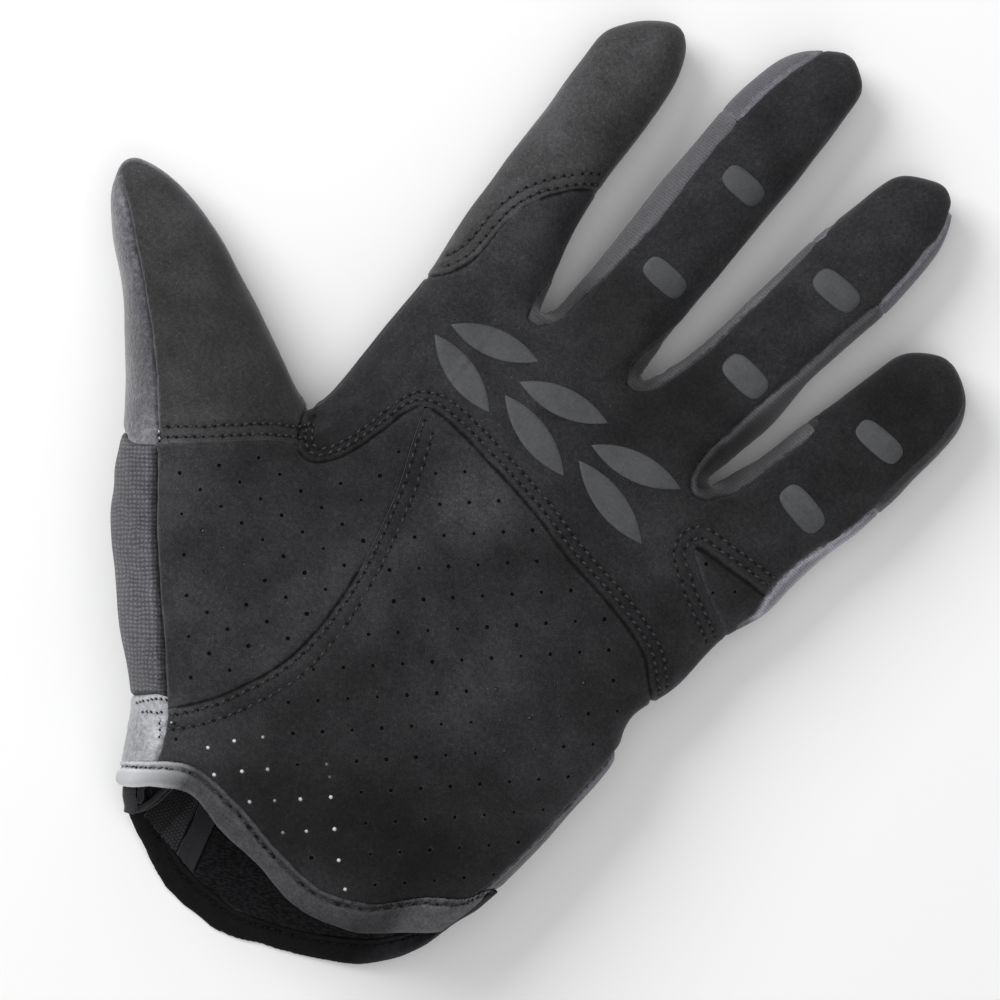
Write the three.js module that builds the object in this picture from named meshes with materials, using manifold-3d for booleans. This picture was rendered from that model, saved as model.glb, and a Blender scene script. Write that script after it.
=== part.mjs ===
// A fishing glove for the left hand, lying on its back with the palm up.
// Millimetres: +Y runs along the fingers, +X towards the little finger and +Z up from the surface it lies on.
import * as THREE from "three";
import { mergeVertices } from "three/addons/utils/BufferGeometryUtils.js";
import Module from "manifold-3d";

const wasm = await Module();
wasm.setup();
const { Manifold, Mesh: SolidMesh } = wasm;

// Driving dimensions.
// The tables below are drawn in a pattern frame with its origin in the middle of the palm.
const ORIGIN_IN_PATTERN = new THREE.Vector3(-21.2, 6.15, 0);
const WALL = 1.6; // shell with its lining
const SEAM_GAP = 0.34; // between two panels that meet
const PAD_LIFT = 0.3; // underside of a grip pad above the shell
const PAD_TOP = 1.1; // top of a grip pad above the shell
const BINDING_PROUD = 0.6; // binding beyond the shell, outside and inside
const LINING_GAP = 0.3; // between the shell and the pieces laid in it
const LINING_THICKNESS = 1.0;
const WIDEST_LEVEL = 0.45; // height of a section's widest point, as a share of its thickness
const UPPER_POWER = 2.3; // superellipse power of the palm side
const LOWER_POWER = 3; // flatter, where the glove lies on its back
const ABOVE = 90; // height that clears the glove
const BELOW = -8; // depth that clears it
// Facets round a section, outside and inside the shell.
const HAND_SIDES = { outside: 26, inside: 14 };
const FINGER_SIDES = { outside: 16, inside: 8 };
const THUMB_SIDES = { outside: 16, inside: 10 };

// Sections of the hand and the fingers. along is measured on the heading, left and right are the outline's
// offsets from it, and bottom and top are heights.
const HAND = {
  origin: { x: 0, y: 0 },
  heading: 90,
  sides: HAND_SIDES,
  capFrom: 30.4,
  rows: [
    { along: -122, left: -21.8, right: 50.0, bottom: -0.4, top: 37.0 },
    { along: -98, left: -31.6, right: 50.3, bottom: -0.4, top: 37.8 },
    { along: -86, left: -38.6, right: 51.2, bottom: -0.4, top: 38.8 },
    { along: -76, left: -50.0, right: 52.6, bottom: -0.4, top: 39.6 },
    { along: -65, left: -60.0, right: 54.6, bottom: -0.4, top: 40.0 },
    { along: -54, left: -66.5, right: 55.8, bottom: -0.4, top: 39.2 },
    { along: -44, left: -66.0, right: 56.4, bottom: -0.4, top: 38.0 },
    { along: -33, left: -58.0, right: 57.0, bottom: -0.4, top: 36.4 },
    { along: -21, left: -50.0, right: 53.7, bottom: -0.4, top: 34.4 },
    { along: -8, left: -45.6, right: 57.6, bottom: -0.4, top: 32.4 },
    { along: 6, left: -44.9, right: 58.8, bottom: -0.4, top: 30.4 },
    { along: 18, left: -44.7, right: 62.9, bottom: -0.4, top: 28.2 },
    { along: 30.4, left: -43.6, right: 56.0, bottom: 0.0, top: 25.8 },
    { along: 33, left: -42.0, right: 34.0, bottom: 0.8, top: 24.8 },
    { along: 37.4, left: -38.0, right: 21.0, bottom: 1.4, top: 23.2 },
    { along: 38.8, left: -21.5, right: 15.0, bottom: 2.2, top: 21.6 },
    { along: 39.7, left: -15.5, right: 13.0, bottom: 3.4, top: 20.2 },
    { along: 41.1, left: 6.6, right: 10.6, bottom: 7.0, top: 15.0 },
  ],
};
const INDEX = {
  origin: { x: 0, y: 0 },
  heading: 90,
  sides: FINGER_SIDES,
  capFrom: 97,
  rows: [
    { along: 14, left: -40.0, right: -23.0, bottom: 3.0, top: 25.4 },
    { along: 37, left: -45.3, right: -19.9, bottom: 0.5, top: 24.2 },
    { along: 58, left: -46.5, right: -24.1, bottom: 0.5, top: 22.4 },
    { along: 72, left: -46.7, right: -25.4, bottom: 0.6, top: 21.4 },
    { along: 97, left: -47.2, right: -26.4, bottom: 1.0, top: 18.8 },
    { along: 105.5, left: -42.2, right: -29.0, bottom: 2.2, top: 16.6 },
    { along: 109, left: -37.6, right: -31.6, bottom: 4.6, top: 13.6 },
    { along: 109.9, left: -35.6, right: -33.2, bottom: 7.0, top: 11.0 },
  ],
};
const MIDDLE = {
  origin: { x: 0, y: 0 },
  heading: 90,
  sides: FINGER_SIDES,
  capFrom: 117,
  rows: [
    { along: 20, left: -18.5, right: 8.0, bottom: 3.0, top: 25.6 },
    { along: 45, left: -16.0, right: 7.1, bottom: 0.5, top: 24.2 },
    { along: 74, left: -16.0, right: 7.9, bottom: 0.6, top: 22.2 },
    { along: 101, left: -14.9, right: 8.8, bottom: 1.0, top: 19.8 },
    { along: 117, left: -12.1, right: 8.6, bottom: 1.5, top: 17.8 },
    { along: 124, left: -7.8, right: 7.9, bottom: 3.0, top: 15.4 },
    { along: 127.3, left: -3.4, right: 4.8, bottom: 4.8, top: 13.2 },
    { along: 128.9, left: -0.6, right: 1.6, bottom: 7.0, top: 11.0 },
  ],
};
const RING = {
  origin: { x: 0, y: 0 },
  heading: 90,
  sides: FINGER_SIDES,
  capFrom: 104,
  rows: [
    { along: 16, left: 8.5, right: 31.0, bottom: 3.0, top: 26.0 },
    { along: 41, left: 10.0, right: 35.5, bottom: 0.5, top: 24.2 },
    { along: 51, left: 13.5, right: 37.9, bottom: 0.5, top: 23.4 },
    { along: 66, left: 16.3, right: 39.0, bottom: 0.6, top: 22.2 },
    { along: 90, left: 19.2, right: 43.1, bottom: 1.0, top: 20.0 },
    { along: 104, left: 22.7, right: 44.1, bottom: 1.2, top: 18.8 },
    { along: 114.5, left: 26.0, right: 41.5, bottom: 3.0, top: 15.8 },
    { along: 117.4, left: 31.0, right: 39.0, bottom: 4.8, top: 13.4 },
    { along: 118.9, left: 34.6, right: 36.6, bottom: 7.0, top: 11.0 },
  ],
};
const LITTLE = {
  origin: { x: 0, y: 0 },
  heading: 90,
  sides: FINGER_SIDES,
  capFrom: 76,
  rows: [
    { along: 6, left: 36.0, right: 57.0, bottom: 3.0, top: 24.0 },
    { along: 18, left: 35.8, right: 62.5, bottom: 1.0, top: 24.4 },
    { along: 36, left: 38.2, right: 66.5, bottom: 0.5, top: 23.0 },
    { along: 44, left: 41.3, right: 69.0, bottom: 0.5, top: 22.2 },
    { along: 56, left: 43.9, right: 70.8, bottom: 0.7, top: 20.8 },
    { along: 76, left: 49.7, right: 72.8, bottom: 1.2, top: 18.2 },
    { along: 82, left: 51.2, right: 71.2, bottom: 2.0, top: 16.6 },
    { along: 86, left: 55.0, right: 67.2, bottom: 3.8, top: 14.4 },
    { along: 88.2, left: 59.2, right: 62.6, bottom: 6.8, top: 11.0 },
  ],
};
const THUMB = {
  origin: { x: -40, y: -33 },
  heading: 150.88,
  sides: THUMB_SIDES,
  capFrom: 70,
  rows: [
    { along: -12, left: -26.0, right: 10.0, bottom: 3.0, top: 37.0 },
    { along: 2, left: -33.0, right: 14.0, bottom: 1.0, top: 38.5 },
    { along: 20, left: -30.2, right: 15.6, bottom: 0.6, top: 36.6 },
    { along: 29, left: -23.8, right: 15.4, bottom: 1.0, top: 34.4 },
    { along: 40, left: -18.8, right: 14.7, bottom: 1.6, top: 31.4 },
    { along: 60, left: -11.8, right: 13.2, bottom: 3.0, top: 26.6 },
    { along: 70, left: -9.6, right: 11.0, bottom: 4.0, top: 24.0 },
    { along: 81.4, left: -5.0, right: 5.8, bottom: 7.4, top: 19.6 },
    { along: 85.4, left: -1.2, right: 2.4, bottom: 10.6, top: 15.8 },
  ],
};
const FORMS = [HAND, INDEX, MIDDLE, RING, LITTLE, THUMB];

// Heights at which the palm side of the shell is sewn to the rest, from the wrist to the finger roots.
const HAND_PARTING = [
  { y: -130, xLeft: -48, zLeft: 14, xRight: 60, zRight: 27 },
  { y: -78, xLeft: -48, zLeft: 14, xRight: 60, zRight: 27 },
  { y: -55, xLeft: -48, zLeft: 14, xRight: 60, zRight: 24 },
  { y: -30, xLeft: -48, zLeft: 14, xRight: 60, zRight: 19 },
  { y: 10, xLeft: -48, zLeft: 14.5, xRight: 60, zRight: 16.5 },
  { y: 28, xLeft: -48, zLeft: 15, xRight: 60, zRight: 16.5 },
];
// The same along each finger. Neighbours share the line that runs up the space between them.
const FINGER_PARTINGS = [
  [
    { y: 28, xLeft: -60, zLeft: 14.9, xRight: -19.3, zRight: 15.4 },
    { y: 43, xLeft: -60, zLeft: 14.2, xRight: -18.8, zRight: 15.8 },
    { y: 60, xLeft: -60, zLeft: 13.6, xRight: -19.8, zRight: 14.8 },
    { y: 98, xLeft: -60, zLeft: 12.2, xRight: -20.5, zRight: 13.2 },
    { y: 106, xLeft: -60, zLeft: 10.6, xRight: -20.5, zRight: 10.8 },
    { y: 136, xLeft: -60, zLeft: 10, xRight: -20.5, zRight: 10 },
  ],
  [
    { y: 28, xLeft: -19.3, zLeft: 15.4, xRight: 8.2, zRight: 15.9 },
    { y: 43, xLeft: -18.8, zLeft: 15.8, xRight: 8.8, zRight: 15.4 },
    { y: 60, xLeft: -19.8, zLeft: 18.6, xRight: 12, zRight: 14.6 },
    { y: 110, xLeft: -20.5, zLeft: 16.4, xRight: 16.5, zRight: 13 },
    { y: 125, xLeft: -20.5, zLeft: 12.4, xRight: 18.5, zRight: 10 },
    { y: 136, xLeft: -20.5, zLeft: 10, xRight: 19.5, zRight: 9 },
  ],
  [
    { y: 28, xLeft: 8.2, zLeft: 15.9, xRight: 35.4, zRight: 16.2 },
    { y: 43, xLeft: 8.8, zLeft: 15.4, xRight: 38.5, zRight: 16.6 },
    { y: 60, xLeft: 12, zLeft: 14.6, xRight: 41.5, zRight: 19 },
    { y: 104, xLeft: 16, zLeft: 13.2, xRight: 54, zRight: 16.6 },
    { y: 115, xLeft: 17.5, zLeft: 10.4, xRight: 57, zRight: 11.6 },
    { y: 136, xLeft: 19.5, zLeft: 9, xRight: 62, zRight: 10 },
  ],
  [
    { y: 28, xLeft: 35.4, zLeft: 16.2, xRight: 85, zRight: 17 },
    { y: 43, xLeft: 38.5, zLeft: 16.6, xRight: 85, zRight: 17 },
    { y: 56, xLeft: 40.6, zLeft: 15.6, xRight: 85, zRight: 17 },
    { y: 76, xLeft: 46, zLeft: 13.4, xRight: 85, zRight: 15 },
    { y: 85, xLeft: 48.6, zLeft: 11.4, xRight: 85, zRight: 11 },
    { y: 100, xLeft: 52.9, zLeft: 10, xRight: 85, zRight: 10 },
  ],
];
const FOURCHETTE_LOW = 5; // height at which the strips between the fingers meet the backs

// Seams cut straight down through the shell. part says which of it they cut: the side above the parting,
// the side below it, or both.
const SEAMS = [
  {
    name: "thumb side",
    part: "upper",
    line: [
      [-121, 9.5], [-114.6, 5.3], [-107, 0.2], [-100, -5.8], [-90, -14.3], [-80, -23.5], [-70, -34.8],
      [-60, -48], [-50, -60], [-40, -71], [-30, -83], [-25.2, -93.5], [-23, -110],
    ],
  },
  { name: "thumb root", part: "upper", line: [[-69, -36.9], [-60, -29.8], [-50, -21.2], [-43, -17.2]] },
  {
    name: "upper palm",
    part: "upper",
    line: [
      [-50, -5], [-46.8, -11.5], [-43.6, -17.2], [-40.5, -19.4], [-37, -18], [-33.5, -13], [-31, -6],
      [-29, 2], [-26.4, 6], [-20, 6.8], [-8, 5.3], [8, 2.4], [20, -0.9], [34, -3.4], [46, -7], [52, -12],
      [58, -17.5], [66, -25],
    ],
  },
  {
    name: "thenar",
    part: "upper",
    line: [
      [-26.4, 6.5], [-23, -3], [-20, -10.5], [-17.4, -20], [-15, -32], [-14, -44], [-14.8, -55],
      [-17.5, -65], [-22, -74.5], [-28, -83], [-32, -87],
    ],
  },
  {
    name: "index panel",
    part: "upper",
    line: [
      [-50, 27], [-43.5, 30.4], [-39.6, 35.2], [-37.8, 41], [-37.5, 50], [-35.6, 57], [-32, 62.6],
      [-28, 66.8], [-22, 71.6],
    ],
  },
  { name: "gusset", part: "upper", line: [[70, 19.9], [41.6, 19.2], [41.2, 17.6], [49, 12.4], [66, 4]] },
  { name: "knit end", part: "all", line: [[-67.9, -37.8], [-72.6, -39.6], [-84, -33.6]] },
  { name: "knit end below", part: "lower", line: [[-70, -38.7], [-50, -34]] },
  { name: "tab end", part: "all", line: [[-31.8, -80.6], [-33.8, -81.4], [-43, -90.5]] },
  {
    name: "back of thumb",
    part: "lower",
    line: [
      [-47.7, -4], [-47.3, -12], [-50.5, -22], [-51, -36], [-46, -54], [-39, -68], [-32.6, -80.8],
      [-29, -92], [-26, -125],
    ],
  },
  { name: "index cross", part: "lower", line: [[-50, 96.8], [-22, 88.8]] },
  { name: "middle cross", part: "lower", line: [[-18, 101.8], [12, 96.6]] },
  { name: "ring cross", part: "lower", line: [[16, 90.9], [47, 86.5]] },
  { name: "little cross", part: "lower", line: [[41.8, 57.5], [74, 49.8]] },
];

// Each fourchette runs from the middle of one finger to the middle of the next, up to their cross seams.
const FOURCHETTES = [
  { left: "index cross", leftMiddle: [-33, -35.6], right: "middle cross", rightMiddle: [-4, -3.4] },
  { left: "middle cross", leftMiddle: [-4, -3.4], right: "ring cross", rightMiddle: [22, 31] },
  { left: "ring cross", leftMiddle: [22, 31], right: "little cross", rightMiddle: [50, 57.4] },
];
const FOURCHETTE_START = 24; // along the fingers, below the crotches

// The wrist opening: the edge of the palm side and of the back, and the inner line of the binding on each.
const RIM = [
  { x: -60, palmEdge: -120, palmBinding: -114, backEdge: -122, backBinding: -116 },
  { x: -34, palmEdge: -108, palmBinding: -102, backEdge: -109, backBinding: -103 },
  { x: -28.5, palmEdge: -103.6, palmBinding: -96.4, backEdge: -105, backBinding: -98.5 },
  { x: -22, palmEdge: -99.4, palmBinding: -91.6, backEdge: -109.6, backBinding: -102.6 },
  { x: -14, palmEdge: -96.6, palmBinding: -90.8, backEdge: -112.4, backBinding: -106 },
  { x: -4, palmEdge: -97.5, palmBinding: -91.5, backEdge: -116.0, backBinding: -109 },
  { x: 8, palmEdge: -99.8, palmBinding: -94.2, backEdge: -116.6, backBinding: -109.6 },
  { x: 20, palmEdge: -101.8, palmBinding: -95.5, backEdge: -112.8, backBinding: -106 },
  { x: 32, palmEdge: -98.9, palmBinding: -92, backEdge: -107.2, backBinding: -100.4 },
  { x: 42, palmEdge: -92, palmBinding: -82.6, backEdge: -101.2, backBinding: -93.8 },
  { x: 49, palmEdge: -85, palmBinding: -76, backEdge: -92.4, backBinding: -84 },
  { x: 62, palmEdge: -74, palmBinding: -66, backEdge: -78, backBinding: -72 },
];
const RIM_LOW = 2; // height of the back edge
const RIM_HIGH = 35; // height of the palm edge
const RIM_SPLIT = [
  { y: -130, xLeft: -30, zLeft: 8, xRight: 50, zRight: 24 },
  { y: -60, xLeft: -30, zLeft: 8, xRight: 50, zRight: 24 },
];

// Pieces laid inside the back of the hand, behind the wrist opening.
const INSIDE_PLANS = [
  { name: "lining_mesh", plan: [[-14.5, -104.6], [-8.9, -106.6], [-11.6, -92], [-21, -58], [-26, -58]] },
  { name: "seam_tape", plan: [[-8.2, -106.8], [-3, -108.1], [-7.4, -92], [-16, -58], [-20.4, -58], [-11, -92]] },
  {
    name: "back_lining",
    plan: [[-2.3, -108.3], [8, -108.6], [20, -105], [32, -99.4], [38, -95], [40, -58], [-15.3, -58], [-6.7, -92]],
  },
];
const INSIDE_CEILING = 9; // the laid-in pieces cover the hollow's floor only up to this height
// The fold of cloth in the corner of the opening on the thumb side, laid on the binding.
const CUFF_FOLD_PLAN = [
  [-21.6, -97], [-20.6, -101], [-21.2, -104.4], [-23.2, -107], [-21.4, -108.2], [-18.9, -104.8], [-18.2, -101],
  [-19.4, -97],
];
const CUFF_FOLD_CEILING = 20;

// Grip pads.
const LEAF_PADS = [
  { x: -22.6, y: 27.0, length: 21.5, width: 6.6, angle: 15 },
  { x: -2.2, y: 26.0, length: 22.0, width: 6.6, angle: 13 },
  { x: 19.5, y: 24.6, length: 22.5, width: 6.6, angle: 12 },
  { x: -24.2, y: 17.1, length: 21.5, width: 6.6, angle: -17 },
  { x: -2.8, y: 16.1, length: 22.5, width: 6.6, angle: -16 },
  { x: 19.8, y: 14.8, length: 23.5, width: 6.6, angle: -15 },
];
const FINGER_PADS = [
  { x: -0.4, y: 89.6, length: 10.4, width: 6.0, angle: -3 },
  { x: -1.6, y: 62.3, length: 10.8, width: 5.9, angle: -3 },
  { x: 30.7, y: 83.9, length: 11.6, width: 6.5, angle: -2 },
  { x: 26.4, y: 55.9, length: 11.4, width: 6.6, angle: -6 },
  { x: 59.3, y: 63.0, length: 12.0, width: 5.8, angle: -3 },
  { x: 54.8, y: 40.3, length: 12.0, width: 6.4, angle: -12 },
];

// Where each panel is found after the shell is cut: a point inside it and the reach of a probe about the point.
const PANELS = [
  { name: "palm_upper_panel", at: [0, 50, 22], finish: "suede" },
  { name: "palm_heel_panel", at: [20, -50, 38], finish: "suede" },
  { name: "thenar_panel", at: [-35, -50, 38], finish: "suede" },
  { name: "heel_gusset", at: [54, 14, 24], finish: "suede" },
  { name: "index_tip_panel", at: [-38, 80, 20], finish: "suedeLight" },
  { name: "thumb_front_panel", at: [-80, -8, 28], finish: "suedeLight" },
  { name: "thumb_back_panel", at: [-84, -9, 3], finish: "fleece" },
  { name: "thumb_side_knit", at: [-58, -58, 30], finish: "knit" },
  { name: "cuff_side_tab", at: [-32, -91, 28], finish: "pale" },
  { name: "hand_back_panel", at: [10, -30, 0.8], finish: "cloth" },
  { name: "index_back_tip", at: [-35, 96, 1.6], finish: "cloth" },
  { name: "middle_back_tip", at: [-3, 108, 1.8], finish: "cloth" },
  { name: "ring_back_tip", at: [33, 98, 1.8], finish: "cloth" },
  { name: "little_back_tip", at: [61, 68, 1.8], finish: "cloth" },
  { name: "fourchette_index_middle", at: [-19.3, 38, 11], finish: "knit" },
  { name: "fourchette_middle_ring", at: [8.4, 40, 11], finish: "knit" },
  { name: "fourchette_ring_little", at: [35.4, 31, 11], finish: "knit" },
];
const PROBE = new THREE.Vector3(2.4, 3, 4);

// Colours and surface of each finish.
const FINISHES = {
  suede: { color: 0x2b2b2d, roughness: 0.95 },
  suedeLight: { color: 0x37373a, roughness: 0.95 },
  fleece: { color: 0x77777c, roughness: 1 },
  knit: { color: 0x606066, roughness: 0.95 },
  pale: { color: 0xb9babd, roughness: 0.9 },
  binding: { color: 0x7c7d80, roughness: 0.85 },
  bindingDark: { color: 0x141416, roughness: 0.85 },
  cloth: { color: 0x242427, roughness: 0.9 },
  lining: { color: 0x161617, roughness: 0.9 },
  tape: { color: 0x2c2c2f, roughness: 0.8 },
  silicone: { color: 0x4e4e51, roughness: 0.6 },
};

// A closed solid from a geometry whose faces point outwards.
function solidOf(geometry) {
  const bare = new THREE.BufferGeometry();
  bare.setAttribute("position", (geometry.index ? geometry.toNonIndexed() : geometry).getAttribute("position"));
  const merged = mergeVertices(bare, 1e-4);
  return new Manifold(
    new SolidMesh({
      numProp: 3,
      vertProperties: new Float32Array(merged.attributes.position.array),
      triVerts: new Uint32Array(merged.index.array),
    }),
  );
}

// A solid skinned over rings of points that all have the same count, run anticlockwise seen from the last ring.
function skin(rings) {
  const count = rings[0].length;
  const points = rings.flat();
  const faces = [];
  const triangle = (a, b, c) => faces.push(points[a], points[b], points[c]);
  for (let r = 0; r + 1 < rings.length; r++) {
    for (let i = 0; i < count; i++) {
      const a = r * count + i;
      const b = r * count + ((i + 1) % count);
      triangle(a, b, b + count);
      triangle(a, b + count, a + count);
    }
  }
  for (const end of [0, rings.length - 1]) {
    const start = end * count;
    for (let i = 1; i + 1 < count; i++) {
      if (end === 0) triangle(start, start + i + 1, start + i);
      else triangle(start, start + i, start + i + 1);
    }
  }
  return solidOf(new THREE.BufferGeometry().setFromPoints(faces));
}

// One section of a form: half a flattened superellipse below the widest level and half a rounder one above it.
function sectionRing(form, row, grow) {
  const heading = THREE.MathUtils.degToRad(form.heading);
  const forward = new THREE.Vector3(Math.cos(heading), Math.sin(heading), 0);
  const side = new THREE.Vector3(Math.sin(heading), -Math.cos(heading), 0);
  const end = form.rows.at(-1).along;
  const start = form.rows[0].along;
  const cap = Math.max(0, (row.along - form.capFrom) / (end - form.capFrom));
  const along = row.along + grow * cap - (row.along === start ? Math.abs(grow) : 0);
  const thinnest = 0.3;
  const halfWidth = Math.max(thinnest, (row.right - row.left) / 2 + grow);
  const middle = (row.right + row.left) / 2;
  const widest = row.bottom + WIDEST_LEVEL * (row.top - row.bottom);
  const up = Math.max(thinnest, row.top - widest + grow);
  const down = Math.max(thinnest, widest - row.bottom + grow);
  const bend = (value, power) => Math.sign(value) * Math.abs(value) ** (2 / power);
  const sides = grow < 0 ? form.sides.inside : form.sides.outside;
  return Array.from({ length: sides }, (_, i) => {
    const angle = (2 * Math.PI * i) / sides;
    const rises = Math.sin(angle) >= 0;
    const power = rises ? UPPER_POWER : LOWER_POWER;
    const across = middle + halfWidth * bend(Math.cos(angle), power);
    const height = widest + (rises ? up : down) * bend(Math.sin(angle), power);
    return new THREE.Vector3(form.origin.x, form.origin.y, height)
      .addScaledVector(forward, along)
      .addScaledVector(side, across);
  });
}

// The hand and fingers together, grown or shrunk by a distance.
function body(grow) {
  const lofts = FORMS.map((form) => skin(form.rows.map((row) => sectionRing(form, row, grow)).reverse()));
  return lofts.reduce((sum, loft) => sum.add(loft));
}

// An upright prism over a plan outline.
function prism(plan, low, high) {
  const shape = new THREE.Shape(plan.map(([x, y]) => new THREE.Vector2(x, y)));
  const geometry = new THREE.ExtrudeGeometry(shape, { depth: high - low, bevelEnabled: false });
  geometry.translate(0, 0, low);
  return solidOf(geometry);
}

// Height of the parting at a point of the plan.
function partingHeight(x, y) {
  const columns = y < FINGER_PARTINGS[0][0].y ? [HAND_PARTING] : FINGER_PARTINGS;
  for (const rows of columns) {
    const next = Math.max(1, rows.findIndex((row) => row.y >= y));
    const [a, b] = [rows[next - 1], rows[next]];
    const t = (y - a.y) / (b.y - a.y);
    const mix = (key) => THREE.MathUtils.lerp(a[key], b[key], THREE.MathUtils.clamp(t, 0, 1));
    const beyond = rows === columns.at(-1);
    if (x <= mix("xRight") || beyond) {
      const s = THREE.MathUtils.clamp((x - mix("xLeft")) / (mix("xRight") - mix("xLeft")), 0, 1);
      return THREE.MathUtils.lerp(mix("zLeft"), mix("zRight"), s);
    }
  }
  return 0;
}

// A thin slab that follows a table of parting heights, level beyond its two sides where flare asks for it.
// Its underside is its top moved down, with the same creases, so that it never thins out.
function partingSlab(rows, thickness, flare) {
  const grid = rows.map((row) => {
    const line = [
      [row.xLeft, row.zLeft],
      [row.xRight, row.zRight],
    ];
    if (flare) {
      line.unshift([row.xLeft - flare, row.zLeft]);
      line.push([row.xRight + flare, row.zRight]);
    }
    return line.map(([x, z]) => new THREE.Vector3(x, row.y, z + thickness / 2));
  });
  const down = new THREE.Vector3(0, 0, -thickness);
  const faces = [];
  const lower = (...corners) => corners.map((corner) => corner.clone().add(down));
  const wall = (a, b) => faces.push(a, ...lower(a, b), a, ...lower(b), b);
  const columns = grid[0].length;
  for (let r = 0; r + 1 < grid.length; r++) {
    for (let c = 0; c + 1 < columns; c++) {
      const [a, b, d, e] = [grid[r][c], grid[r][c + 1], grid[r + 1][c + 1], grid[r + 1][c]];
      faces.push(a, b, d, a, d, e, ...lower(d, b, a), ...lower(e, d, a));
    }
    wall(grid[r + 1][0], grid[r][0]);
    wall(grid[r][columns - 1], grid[r + 1][columns - 1]);
  }
  for (let c = 0; c + 1 < columns; c++) {
    wall(grid[0][c], grid[0][c + 1]);
    wall(grid.at(-1)[c + 1], grid.at(-1)[c]);
  }
  return solidOf(new THREE.BufferGeometry().setFromPoints(faces));
}

// Plan of the low cut that parts a fourchette from the backs of its two fingers.
function fourchettePlan({ left, leftMiddle, right, rightMiddle }) {
  const seamLine = (name) => SEAMS.find((seam) => seam.name === name).line;
  const onSeam = (name, x) => {
    const [[x0, y0], [x1, y1]] = seamLine(name);
    return [x, THREE.MathUtils.lerp(y0, y1, (x - x0) / (x1 - x0))];
  };
  return [
    [leftMiddle[0], FOURCHETTE_START],
    [rightMiddle[0], FOURCHETTE_START],
    onSeam(right, rightMiddle[1]),
    seamLine(right)[0],
    seamLine(left)[1],
    onSeam(left, leftMiddle[1]),
  ];
}

// A thin upright ribbon along a seam line, between two heights that may follow the parting.
function ribbon(line, lowAt, highAt) {
  const points = line.map(([x, y]) => new THREE.Vector2(x, y));
  const rings = points.map((point, i) => {
    const before = points[Math.max(0, i - 1)];
    const after = points[Math.min(points.length - 1, i + 1)];
    const into = point.clone().sub(before).normalize();
    const out = after.clone().sub(point).normalize();
    const along = into.add(out).normalize();
    const turn = Math.max(0.5, Math.abs(along.dot(after.clone().sub(before).normalize())));
    const normal = new THREE.Vector2(-along.y, along.x).multiplyScalar(SEAM_GAP / 2 / turn);
    const [l, r] = [point.clone().add(normal), point.clone().sub(normal)];
    const low = lowAt(point.x, point.y);
    const high = highAt(point.x, point.y);
    return [
      new THREE.Vector3(r.x, r.y, low),
      new THREE.Vector3(r.x, r.y, high),
      new THREE.Vector3(l.x, l.y, high),
      new THREE.Vector3(l.x, l.y, low),
    ];
  });
  return skin(rings.map((ring) => ring.slice().reverse()));
}

// Everything in front of a rim line, whose place runs from the back edge's to the palm edge's as it rises.
function rimCutter(palmKey, backKey, shift) {
  const levels = [BELOW, RIM_LOW, (RIM_LOW + RIM_HIGH) / 2, RIM_HIGH, ABOVE];
  const beyond = -170;
  const rings = RIM.map((row) => {
    const face = levels.map((z) => {
      const t = THREE.MathUtils.clamp((z - RIM_LOW) / (RIM_HIGH - RIM_LOW), 0, 1);
      return new THREE.Vector3(row.x, THREE.MathUtils.lerp(row[backKey], row[palmKey], t) + shift, z);
    });
    return [...face, new THREE.Vector3(row.x, beyond, ABOVE), new THREE.Vector3(row.x, beyond, BELOW)];
  });
  return skin(rings);
}

// All the cuts that turn the shell into its panels.
function seamCuts() {
  const reach = 0.25;
  const handPlan = [
    ...SEAMS.find((seam) => seam.name === "thumb side").line,
    [-23, -130], [100, -130], [100, 28.01], [-130, 28.01], [-130, 12],
  ];
  const handSlab = partingSlab(HAND_PARTING, SEAM_GAP, 90).intersect(prism(handPlan, BELOW, ABOVE));
  const fingerSlabs = FINGER_PARTINGS.map((rows) => partingSlab(rows, SEAM_GAP, 0));
  const ribbons = SEAMS.map(({ part, line }) =>
    ribbon(
      line,
      (x, y) => (part === "upper" ? partingHeight(x, y) - reach : BELOW),
      (x, y) => (part === "lower" ? partingHeight(x, y) + reach : ABOVE),
    ),
  );
  const low = FOURCHETTE_LOW - SEAM_GAP / 2;
  const fourchetteCuts = FOURCHETTES.map((one) => prism(fourchettePlan(one), low, low + SEAM_GAP));
  return [handSlab, ...fingerSlabs, ...ribbons, ...fourchetteCuts].reduce((sum, cut) => sum.add(cut));
}

// A pointed oval between two arcs.
function leafPlan({ x, y, length, width, angle }) {
  const steps = 5;
  const sagitta = width / 2;
  const radius = (length * length) / (8 * sagitta) + sagitta / 2;
  const half = Math.asin(length / 2 / radius);
  const arc = Array.from({ length: steps }, (_, i) => {
    const turn = -half + (2 * half * i) / steps;
    return new THREE.Vector2(radius * Math.sin(turn), radius * Math.cos(turn) - (radius - sagitta));
  });
  const outline = [...arc, ...arc.map((point) => point.clone().negate())].reverse();
  return placePlan(outline, x, y, angle);
}

// A rounded bar.
function barPlan({ x, y, length, width, angle }) {
  const steps = 3;
  const power = 3.2;
  const bend = (value) => Math.sign(value) * Math.abs(value) ** (2 / power);
  const outline = Array.from({ length: 4 * steps }, (_, i) => {
    const turn = (Math.PI * (i + 0.5)) / (2 * steps);
    return new THREE.Vector2((length / 2) * bend(Math.cos(turn)), (width / 2) * bend(Math.sin(turn)));
  });
  return placePlan(outline, x, y, angle);
}

function placePlan(outline, x, y, angle) {
  const centre = new THREE.Vector2();
  return outline.map((point) => {
    const turned = point.rotateAround(centre, THREE.MathUtils.degToRad(angle));
    return [turned.x + x, turned.y + y];
  });
}

const glove = new THREE.Group();
glove.position.copy(ORIGIN_IN_PATTERN).negate();

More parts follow.
